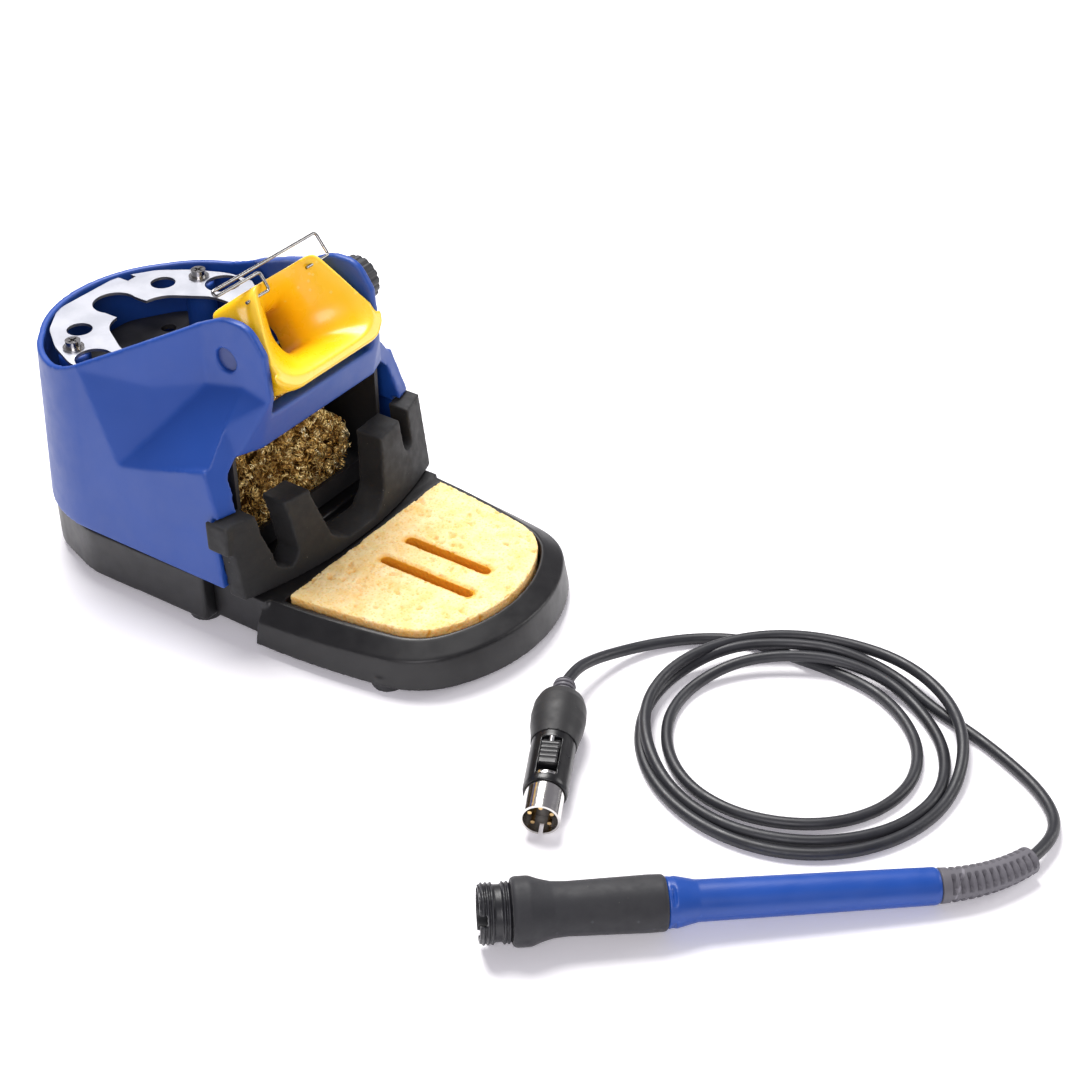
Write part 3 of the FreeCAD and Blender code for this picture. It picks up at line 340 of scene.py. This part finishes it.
def wool_material():
    """Bright brass shavings, paler and darker at random, with painted shade darker deeper in the wool."""
    finish = Finish("wool_brass")
    shade = finish.add("ShaderNodeAttribute", attribute_name="shade").outputs["Fac"]
    tone = finish.ramp(shade, [(0.0, (0.2, 0.1, 0.02)), (0.25, (0.66, 0.4, 0.11)), (0.6, (1.0, 0.78, 0.34)),
                               (1.0, (1.0, 0.94, 0.7))])
    finish.join(tone, finish.shader, "Base Color")
    finish.set(Metallic=0.8)
    finish.join(finish.spread(finish.noise(900.0, 2.0), 0.22, 0.45), finish.shader, "Roughness")
    finish.join(finish.bump(finish.noise(2400.0, 2.0), 0.2, 0.06), finish.shader, "Normal")
    return finish.material


def jacket_material():
    """Smooth black cord jacket with a soft shine and light dust."""
    finish = Finish("cord_black")
    shades = [(0.3, (0.014, 0.0145, 0.018)), (0.7, (0.024, 0.025, 0.03))]
    tone = finish.ramp(finish.noise(90.0, 4.0), shades)
    specks = finish.spread(finish.cells(330.0), 1.0, 0.0, 0.02, 0.07)
    tone = finish.mix(finish.math("MULTIPLY", specks, 0.15), tone, (0.4, 0.4, 0.42))
    finish.join(tone, finish.shader, "Base Color")
    finish.join(finish.spread(finish.noise(260.0, 3.0), 0.36, 0.5), finish.shader, "Roughness")
    finish.join(finish.bump(finish.noise(1500.0, 3.0), 0.12, 0.06), finish.shader, "Normal")
    return finish.material


# Edge colours: lighter edges, partly worn and partly painted highlight.
BLUE, BLUE_EDGE = (0.009, 0.06, 0.32), (0.09, 0.17, 0.56)
BLACK, BLACK_EDGE = (0.006, 0.0058, 0.0066), (0.07, 0.066, 0.07)


def make_materials():
    return {
        "blue_plastic": plastic("blue_plastic", BLUE, BLUE_EDGE, (0.4, 0.5), 0.2, 0.55, 0.93),
        "black_plastic": plastic("black_plastic", BLACK, BLACK_EDGE, (0.36, 0.48), 0.25, 0.45, 0.8),
        "liner_plastic": plastic("liner_plastic", (0.01, 0.01, 0.011), BLACK_EDGE, (0.45, 0.6), 0.2, 0.2),
        "wiper_rubber": rubber("wiper_rubber", (0.008, 0.008, 0.0085), (0.06, 0.058, 0.055),
                               dust=0.6, sheen=0.04),
        "yellow_plastic": receptacle_material(),
        "foot_rubber": rubber("foot_rubber", (0.03, 0.03, 0.032), (0.08, 0.08, 0.08)),
        "plate_steel": metal("plate_steel", (0.47, 0.48, 0.52), (0.38, 0.39, 0.43),
                             (0.36, 0.52), (1, 18, 18), 0.05),
        "screw_chrome": metal("screw_chrome", (0.58, 0.57, 0.56), (0.36, 0.35, 0.34),
                              (0.14, 0.28), scratch=0.1),
        "screw_steel": metal("screw_steel", (0.5, 0.5, 0.51), (0.36, 0.36, 0.37),
                             (0.25, 0.42), scratch=0.12),
        "ballast_iron": metal("ballast_iron", (0.16, 0.155, 0.15), (0.09, 0.085, 0.08),
                              (0.45, 0.65), scratch=0.3),
        "wire_steel": metal("wire_steel", (0.3, 0.295, 0.29), (0.2, 0.195, 0.19),
                            (0.16, 0.3), (1, 6, 6), 0.06),
        "wool_brass": wool_material(),
        "wool_shade_core": metal("wool_shade_core", (0.16, 0.09, 0.02), (0.05, 0.03, 0.008), (0.3, 0.5), scratch=0.5),
        "sponge_yellow": sponge_material(),
        "knob_grey": plastic("knob_grey", (0.026, 0.027, 0.031), (0.1, 0.1, 0.11), (0.42, 0.55), 0.3),
        "pin_steel": plastic("pin_steel", (0.006, 0.02, 0.12), BLUE_EDGE, (0.4, 0.5), 0.2, 0.2),
        "nose_black": plastic("nose_black", (0.011, 0.0115, 0.014), (0.07, 0.073, 0.085),
                              (0.34, 0.46), 0.2),
        "grip_rubber": rubber("grip_rubber", (0.013, 0.0135, 0.017), (0.05, 0.05, 0.06),
                              (0.55, 0.7), 0.2, 0.35),
        "handle_blue": plastic("handle_blue", (0.008, 0.066, 0.35), (0.06, 0.15, 0.56),
                               (0.34, 0.46), 0.22, 0.12),
        "insulator": plastic("insulator", (0.02, 0.018, 0.016), (0.08, 0.07, 0.06), (0.4, 0.55), 0.2),
        "contact_gold": metal("contact_gold", (0.83, 0.6, 0.28), (0.68, 0.46, 0.2), (0.16, 0.3)),
        "relief_grey": plastic("relief_grey", (0.13, 0.125, 0.142), (0.26, 0.25, 0.28),
                               (0.45, 0.58), 0.25),
        "cord_black": jacket_material(),
        "plug_black": plastic("plug_black", (0.005, 0.005, 0.006), (0.05, 0.05, 0.055),
                              (0.26, 0.38), 0.12, 0.35),
        "boot_black": rubber("boot_black", (0.008, 0.008, 0.009), (0.04, 0.04, 0.04), (0.5, 0.65), 0.2),
        "nickel": metal("nickel", (0.8, 0.79, 0.77), (0.63, 0.61, 0.58), (0.09, 0.2), (4, 1, 1), 0.06),
    }


# ---- mesh helpers -------------------------------------------------------------------
def baked(obj, name):
    """obj with its modifiers applied, as a new mesh of that name. obj goes."""
    graph = bpy.context.evaluated_depsgraph_get()
    mesh = bpy.data.meshes.new_from_object(obj.evaluated_get(graph))
    bpy.data.objects.remove(obj)
    mesh.name = name
    return mesh


def welded_copy(node, name):
    mesh = NODES[node].data.copy()
    mesh.name = name
    edit = bmesh.new()
    edit.from_mesh(mesh)
    bmesh.ops.remove_doubles(edit, verts=edit.verts, dist=0.002 * MM)
    edit.to_mesh(mesh)
    edit.free()
    return mesh


def soft_copy(node, name, voxel, passes, blocks=()):
    """The CAD node as an even mesh whose sharp corners are rounded off like a moulding."""
    mesh = welded_copy(node, name)
    for low, high in blocks:
        mesh = with_block(mesh, low, high)
    return even_soft(add_object(name + "_work", mesh), name, voxel, passes)


def with_block(mesh, low, high):
    """mesh with a box added, given by two corners in the stand's own millimetres."""
    edit = bmesh.new()
    edit.from_mesh(mesh)
    size = Vector(high) - Vector(low)
    middle = (Vector(high) + Vector(low)) / 2 + STAND_AT
    shape = Matrix.Translation(middle * MM) @ Matrix.Diagonal((*(size * MM), 1.0))
    bmesh.ops.create_cube(edit, size=1.0, matrix=shape)
    edit.to_mesh(mesh)
    edit.free()
    return mesh


def even_soft(obj, name, voxel, passes):
    """obj remeshed evenly and smoothed, so that its sharp corners look moulded. obj goes."""
    even = obj.modifiers.new("even", "REMESH")
    even.mode = "VOXEL"
    even.voxel_size = voxel * MM
    even.use_smooth_shade = True
    soft = obj.modifiers.new("soft", "SMOOTH")
    soft.factor = 0.5
    soft.iterations = passes
    return baked(obj, name)


def sleeve(edit, rings):
    """Skin through rings of points, closed at both ends."""
    rows = [[edit.verts.new(point) for point in ring] for ring in rings]
    count = len(rows[0])
    for near, far in zip(rows, rows[1:]):
        for step in range(count):
            after = (step + 1) % count
            edit.faces.new((near[step], near[after], far[after], far[step]))
    edit.faces.new(reversed(rows[0]))
    edit.faces.new(rows[-1])


def skin(name, rings):
    """A closed solid through rings of points."""
    edit = bmesh.new()
    sleeve(edit, rings)
    bmesh.ops.recalc_face_normals(edit, faces=edit.faces)
    mesh = bpy.data.meshes.new(name)
    edit.to_mesh(mesh)
    edit.free()
    return add_object(name, mesh)


def smooth_faces(mesh):
    mesh.polygons.foreach_set("use_smooth", [True] * len(mesh.polygons))
    mesh.update()


def show(name, mesh, body, slot, replaced=(), material=None):
    """Adds a finished mesh as a piece of a body, in a material slot."""
    mesh.materials.clear()
    mesh.materials.append(MATERIALS[material or slot])
    smooth_faces(mesh)
    piece = add_object(name, mesh)
    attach(piece, body)
    if replaced:
        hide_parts(*replaced)
    return piece


# ---- the cord ---------------------------------------------------------------------------
def between(table, at):
    """Value at a place in a table of places and values, eased from one to the next."""
    for (start, low), (end, high) in zip(table, table[1:]):
        if at <= end:
            share = max(0.0, (at - start) / (end - start))
            share = share * share * (3 - 2 * share)
            return low + (high - low) * share
    return table[-1][1]


def coil_points():
    """Points round the coil's three loose turns, climbing where one crosses another."""
    half_step = math.radians(COIL_STEP)
    spline_pull = 0.75 + 0.25 * math.cos(half_step)   # a quadratic spline runs inside its points
    points = []
    angle = COIL_FROM
    while angle <= COIL_TO + 1:
        radius = between(COIL_RADII, angle) / spline_pull
        turn = math.radians(angle)
        points.append((COIL_CENTRE.x + radius * math.cos(turn), COIL_CENTRE.y + radius * math.sin(turn),
                       between(COIL_HEIGHTS, angle)))
        angle += COIL_STEP
    return points


def add_cord():
    points = [*HANDLE_ROUTE, *coil_points(), *PLUG_ROUTE]
    data = bpy.data.curves.new("cord", "CURVE")
    data.dimensions = "3D"
    spline = data.splines.new("NURBS")
    spline.points.add(len(points) - 1)
    for point, (x, y, z) in zip(spline.points, points):
        point.co = (x * MM, y * MM, z * MM, 1.0)
    spline.order_u = 3
    spline.use_endpoint_u = True
    spline.resolution_u = 8
    data.bevel_depth = CORD_D / 2 * MM
    data.bevel_resolution = 7
    data.use_fill_caps = True
    data.materials.append(MATERIALS["cord_black"])
    cord = add_object("cord", data)
    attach(cord, "iron")
    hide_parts("cord_to_handle", "cord_coil", "cord_to_plug")
    return cord


# ---- strain relief ------------------------------------------------------------------------
NOSE_FRONT = Vector((-88.8, -77.7, 0.0))
HAND_HEADING, HAND_TILT = -48.9, 2.1
RELIEF_START = 143.3                     # along the handpiece from its nose
RELIEF_START_Z, RELIEF_END_Z = 6.14, 5.0
RELIEF_TURN, RELIEF_LENGTH = 30.8, 33.0
RELIEF_RIBS = 12
RELIEF_R_START, RELIEF_R_END, RELIEF_GAP_DEPTH = 5.6, 4.5, 1.8
RELIEF_COLLAR, RELIEF_GAPS_END, RELIEF_GAP_SHARE = 0.08, 0.985, 0.5
RELIEF_WEB = 0.965                       # a web lies where the side or up part of the angle is over this
RELIEF_PITCH_DOWN = -0.035


def relief_at(share):
    """A point on the relief's curved middle line, with the way it runs there."""
    heading, turn = math.radians(HAND_HEADING), math.radians(RELIEF_TURN)
    radius = RELIEF_LENGTH / turn
    along = RELIEF_START * math.cos(math.radians(HAND_TILT))
    start = NOSE_FRONT + Vector((along * math.cos(heading), along * math.sin(heading), RELIEF_START_Z))
    chord, way = 2 * radius * math.sin(turn * share / 2), heading + turn * share / 2
    drop = (RELIEF_START_Z - RELIEF_END_Z) * share
    point = start + Vector((chord * math.cos(way), chord * math.sin(way), -drop))
    ahead = heading + turn * share
    return point, Vector((math.cos(ahead), math.sin(ahead), RELIEF_PITCH_DOWN)).normalized()


def ring_points(share, radii):
    """A loop of points across the relief, one for each radius in radii."""
    middle, ahead = relief_at(share)
    side = ahead.cross(Vector((0, 0, 1))).normalized()
    up = side.cross(ahead)
    count = len(radii)
    ring = []
    for step, radius in enumerate(radii):
        turn = 2 * math.pi * step / count
        ring.append((middle + side * (radius * math.cos(turn)) + up * (radius * math.sin(turn))) * MM)
    return ring


def relief_mesh():
    """Ribbed taper with a plain collar; four straight webs run through the gaps between ribs."""
    around, steps = 64, RELIEF_RIBS * 12
    rings = []
    for step in range(steps + 1):
        share = step / steps
        outer = RELIEF_R_START + (RELIEF_R_END - RELIEF_R_START) * share
        radii = []
        phase = (share - RELIEF_COLLAR) / (1 - RELIEF_COLLAR) * RELIEF_RIBS
        in_gap = RELIEF_COLLAR < share < RELIEF_GAPS_END and (phase % 1.0) < RELIEF_GAP_SHARE
        for place in range(around):
            turn = 2 * math.pi * place / around
            web = max(abs(math.cos(turn)), abs(math.sin(turn))) > RELIEF_WEB
            deep = in_gap and not web
            radii.append(outer - RELIEF_GAP_DEPTH if deep else outer)
        rings.append(ring_points(share, radii))
    edit = bmesh.new()
    sleeve(edit, rings)
    mesh = bpy.data.meshes.new("strain_relief_ribbed")
    edit.to_mesh(mesh)
    edit.free()
    return mesh


# ---- receptacle --------------------------------------------------------------------------------
PIVOT_Y, PIVOT_Z = 20.6, 101.4
EAR_GAP, EAR_CLEAR = 27.5, 20.4          # half of the room between the ears, and how far it reaches
PIN_BORE = 4.6
RECEPTACLE_RINGS = (                     # depth behind the rim, then its right-hand corners: x and up
    (-0.8, 4.5, ((22.5, -20.0), (30.5, -14.0), (27.0, -7.5), (16.8, 18.0))),
    (1.8, 4.5, ((23.8, -20.2), (29.6, -13.5), (27.2, -7.0), (18.4, 18.2))),
    (5.0, 4.0, ((25.2, -19.4), (27.4, -12.6), (26.6, -6.0), (22.4, 18.2))),
    (13.0, 3.0, ((26.0, -18.0), (27.4, -10.0), (27.4, -3.0), (27.4, 18.0))),
    (31.0, 3.0, ((15.0, -10.0), (17.0, -6.0), (18.0, -1.0), (17.0, 9.0))),
)
MOUTH = ((20.5, -16.0), (26.0, -6.5), (11.5, 23.0))
THROAT = ((5.5, -8.0), (7.3, 0.0), (6.2, 8.5))
BELL_DEPTH, BELL_END = 21.0, 40.0
NOTCH = ((-9.3, -30.0, 117.0), (9.3, 19.5, 150.0))


def on_rim(x, up, depth):
    """Point of the receptacle, from its place across and up the rim and behind it."""
    return (RIM_MIDDLE + Vector((x, 0, 0)) + RIM_UP * up - RIM_OUT * depth) * MM


def rounded_loop(half, reach):
    """Closed outline through mirrored corners, each one eased over a distance of reach."""
    corners = [Vector(spot) for spot in (*half, *[(-x, up) for x, up in reversed(half)])]
    loop = []
    for index, corner in enumerate(corners):
        ends = []
        for other in (corners[index - 1], corners[(index + 1) % len(corners)]):
            way = other - corner
            ends.append(corner + way.normalized() * min(reach, 0.48 * way.length))
        for step in range(7):
            share = step / 6
            loop.append(ends[0].lerp(corner, share).lerp(corner.lerp(ends[1], share), share))
    return loop


def bar(name, left, right, radius, at=(PIVOT_Y, PIVOT_Z), count=64):
    """Round bar across the stand, between two x places."""
    rings = []
    for x in (left, right):
        ring = []
        for step in range(count):
            turn = 2 * math.pi * step / count
            spot = Vector((x, at[0] + radius * math.cos(turn), at[1] + radius * math.sin(turn)))
            ring.append((spot + STAND_AT) * MM)
        rings.append(ring)
    return skin(name, rings)


def bell_rings():
    """The funnel's inside: steep at the throat, flaring out flat at the rim."""
    rings = []
    depths = [-3.0, *[BELL_DEPTH * step / 14 for step in range(15)], BELL_END]
    for depth in depths:
        open_share = max(0.0, 1 - depth / BELL_DEPTH) ** 2.1
        half = [(low[0] + (wide[0] - low[0]) * open_share, low[1] + (wide[1] - low[1]) * open_share)
                for low, wide in zip(THROAT, MOUTH)]
        reach = 3.0 + 7.0 * min(open_share, 1.0)
        rings.append([on_rim(spot.x, spot.y, depth) for spot in rounded_loop(half, reach)])
    return rings


def receptacle_mesh():
    """Flared funnel with two horns, bored for its pivot."""
    rings = [[on_rim(spot.x, spot.y, depth) for spot in rounded_loop(half, reach)]
             for depth, reach, half in RECEPTACLE_RINGS]
    body = skin("receptacle_work", rings)
    notch = add_object("notch", with_block(bpy.data.meshes.new("notch"), *NOTCH))
    cutters = [skin("bell", bell_rings()), notch]
    cutters += [bar("ear_room", side * EAR_GAP, side * 45, EAR_CLEAR) for side in (-1, 1)]
    cutters += [bar("bore", -50, -19, PIN_BORE), bar("bore", 15.8, 50, PIN_BORE)]
    for cutter in cutters:
        cut = body.modifiers.new("cut", "BOOLEAN")
        cut.operation = "DIFFERENCE"
        cut.solver = "EXACT"
        cut.object = cutter
    mesh = even_soft(body, "receptacle_moulded", 0.42, 16)
    for cutter in cutters:
        bpy.data.objects.remove(cutter)
    return mesh


# ---- brass wool and sponge -----------------------------------------------------------------
SLITS = ((-7.9, -66.0), (7.1, -63.0))    # x and front end of each slit in the sponge
SLIT_BACK, SLIT_HALF = -25.5, 1.5
WOOL_RIBBONS = 4000
WOOL_CORE_DEPTH = 4.0
WOOL_SKIN = 4.5                          # only ribbons this near the surface are made


def solid_of(node):
    edit = bmesh.new()
    edit.from_mesh(welded_copy(node, node + "_solid"))
    tree = BVHTree.FromBMesh(edit)
    edit.free()
    return tree


def depth_in(tree, spot):
    place, normal, _, distance = tree.find_nearest(spot)
    return distance if (spot - place).dot(normal) < 0 else -distance


def random_way(rng):
    return Vector((rng.gauss(0, 1), rng.gauss(0, 1), rng.gauss(0, 1))).normalized()


def wool_mesh():
    """Curled flat shavings wound through the outer layer of the wool's solid."""
    rng = random.Random(11)
    tree = solid_of("brass_wool")
    low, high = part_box("brass_wool")
    points, faces, shades = [], [], []
    made = 0
    while made < WOOL_RIBBONS:
        spot = Vector([rng.uniform(low[axis], high[axis]) for axis in range(3)])
        depth = depth_in(tree, spot) / MM
        if not 0.6 < depth < WOOL_SKIN:
            continue
        made += 1
        axis = random_way(rng)
        side = axis.orthogonal().normalized()
        up = axis.cross(side)
        radius = rng.uniform(0.6, 1.7) * MM
        turns = rng.uniform(1.0, 2.4)
        pitch = rng.uniform(0.7, 1.9) * MM
        half_width, half_thick = rng.uniform(0.18, 0.36) * MM, 0.03 * MM
        steps = max(8, int(turns * 9))
        start_turn = rng.uniform(0, 2 * math.pi)
        squeeze = rng.uniform(0.6, 1.0)
        # Painted shade: ribbons deeper in the wool are darker.
        shade = rng.random() * (1 - 0.8 * depth / WOOL_SKIN)
        first = len(points)
        for step in range(steps + 1):
            share = step / steps
            turn = start_turn + 2 * math.pi * turns * share
            grow = 0.75 + 0.5 * share
            out = side * math.cos(turn) + up * (math.sin(turn) * squeeze)
            middle = spot + out * (radius * grow) + axis * (pitch * turns * (share - 0.5))
            for wide, thick in ((-1, -1), (1, -1), (1, 1), (-1, 1)):
                point = middle + axis * (half_width * wide) + out * (half_thick * thick)
                points.append([min(max(point[k], low[k]), high[k]) for k in range(3)])
                shades.append(shade)
        for step in range(steps):
            here, after = first + 4 * step, first + 4 * step + 4
            for corner in range(4):
                other = (corner + 1) % 4
                faces.append((here + corner, here + other, after + other, after + corner))
        faces.append((first + 3, first + 2, first + 1, first))
        last = first + 4 * steps
        faces.append((last, last + 1, last + 2, last + 3))
    mesh = bpy.data.meshes.new("brass_wool_curls")
    mesh.from_pydata(points, [], faces)
    mesh.attributes.new("shade", "FLOAT", "POINT").data.foreach_set("value", shades)
    return mesh


def near_slit(spot):
    """1 over a slit in the sponge, falling to 0 a few millimetres from it."""
    local = spot - STAND_AT
    nearest = 9.0
    for x, near in SLITS:
        gap_y = max(0.0, near - local.y, local.y - SLIT_BACK)
        nearest = min(nearest, math.hypot(max(0.0, abs(local.x - x) - SLIT_HALF), gap_y))
    return max(0.0, 1 - nearest / 2.2)


def sponge_mesh():
    """Sponge with pits, a slightly lumpy top and ragged slits, with painted shade in its pits, slits and
    sides.
    """
    mesh = soft_copy("sponge", "sponge_porous", 0.6, 5)
    low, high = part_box("sponge")
    painted_sponge_shade = []
    normals = [vertex.normal.copy() for vertex in mesh.vertices]
    for vertex, normal in zip(mesh.vertices, normals):
        spot = vertex.co / MM
        upward = max(0.0, normal.z)
        warp = Vector([noise.noise(spot / 3.0 + Vector((31.0 * axis, 5.0, 2.0))) for axis in range(3)])
        wide = noise.voronoi((spot + warp * 2.6) / 5.2)[0]
        fine = noise.voronoi((spot + warp * 1.2) / 1.9 + Vector((7.0, 3.0, 1.0)))[0]
        patch = noise.noise(spot / 11.0) * 0.5 + 0.5
        hole = max(0.0, 1 - wide[0] / (0.16 + 0.26 * patch))
        pit = max(0.0, 1 - fine[0] / 0.42)
        lump = noise.noise(spot / 4.5) * 0.5 + noise.noise(spot / 1.8) * 0.4
        slit = near_slit(spot)
        sink = hole ** 0.7 * 1.5 + pit * 0.6 - lump * 0.55 + 0.35 + slit * (0.9 + 0.9 * lump)
        shift = normal * (-sink * MM * (0.45 + 0.55 * upward))
        vertex.co += shift
        # Painted shade: the sides, pits and slits are coloured darker orange.
        painted_side_shade = 0.45 * (1 - upward) if spot.z < high.z / MM - 0.8 else 0.0
        painted_sponge_shade.append(min(1.0, hole ** 0.7 * 0.62 + pit * 0.22 + painted_side_shade + 0.75 * slit))
    mesh.attributes.new("sponge_shade_mask", "FLOAT", "POINT").data.foreach_set("value", painted_sponge_shade)
    mesh.update()
    return mesh


# ---- the pieces ---------------------------------------------------------------------------
SOFT_PIECES = (                          # CAD node, body, slot, voxel in mm, smoothing passes
    ("housing", "stand", "blue_plastic", 0.7, 9),
    ("base", "stand", "black_plastic", 0.7, 5),
    ("sponge_tray", "tray", "black_plastic", 0.6, 5),
    ("knob", "knob", "knob_grey", 0.3, 3),
    ("nose_socket", "iron", "nose_black", 0.28, 2),
    ("grip", "iron", "grip_rubber", 0.4, 10),
    ("handle_shell", "iron", "handle_blue", 0.35, 6),
    ("plug_body", "iron", "plug_black", 0.3, 3),
    ("plug_latch", "plug_latch", "plug_black", 0.22, 2),
    ("plug_strain_relief", "iron", "relief_grey", 0.25, 2),
    ("plug_boot", "iron", "cord_black", 0.3, 4),
    ("base_feet", "stand", "foot_rubber", 0.4, 4),
    ("tray_feet", "tray", "foot_rubber", 0.4, 4),
)
# A piece whose look differs from its slot's.
OTHER_LOOKS = {"plug_boot": "boot_black"}
WIPER_TAB = (((-57.6, 3.5, 38.5), (-55.9, 13.6, 50.4)), ((-57.6, 3.5, 38.5), (-54.0, 7.5, 50.4)))
PLAIN_PIECES = {                         # CAD nodes that show as they are, with their materials
    "base_screws": "screw_steel", "ballast_plate": "ballast_iron", "ballast_screws": "screw_steel",
    "cleaner_bin": "liner_plastic", "tip_plate": "plate_steel", "tip_plate_screws": "screw_chrome",
    "lower_tip_rack": "liner_plastic", "pivot_pin": "pin_steel", "pivot_bush": "insulator",
    "lock_nut": "screw_steel", "friction_washer": "screw_steel", "knob_screw": "screw_steel",
    "rest_wire": "wire_steel", "cartridge_stop": "insulator", "contact_pins": "contact_gold",
    "cord_clamp": "nickel", "inner_lead": "cord_black",
    "plug_shell": "nickel", "plug_insulator": "insulator", "plug_pins": "contact_gold",
    "plug_latch_spring": "screw_steel", "plug_lead": "cord_black",
}


def add_soft_pieces():
    for node, body, slot, voxel, passes in SOFT_PIECES:
        name = node + "_moulded"
        show(name, soft_copy(node, name, voxel, passes), body, slot, (node,), OTHER_LOOKS.get(node))


def finish_plain_pieces():
    for node, material in PLAIN_PIECES.items():
        data = NODES[node].data
        data.materials.clear()
        data.materials.append(MATERIALS[material])


add_camera()
MATERIALS = make_materials()
cord = add_cord()
add_studio()
add_soft_pieces()
finish_plain_pieces()
show("receptacle_moulded", receptacle_mesh(), "receptacle", "yellow_plastic", ("receptacle",))
wiper = soft_copy("wiper", "wiper_moulded", 0.6, 7, WIPER_TAB)
show("wiper_moulded", wiper, "tray", "wiper_rubber", ("wiper",))
relief = show("strain_relief_ribbed", relief_mesh(), "iron", "relief_grey", ("strain_relief",))
show("brass_wool_curls", wool_mesh(), "stand", "wool_brass", ("brass_wool",))
# A dark brass shell under the curls: painted shade in the gaps between them.
core = soft_copy("brass_wool", "brass_wool_core", 1.2, 12)
for vertex, normal in zip(core.vertices, [vertex.normal.copy() for vertex in core.vertices]):
    vertex.co -= normal * WOOL_CORE_DEPTH * MM
show("brass_wool_core", core, "stand", "wool_brass", material="wool_shade_core")
sponge = show("sponge_porous", sponge_mesh(), "sponge", "sponge_yellow", ("sponge",))
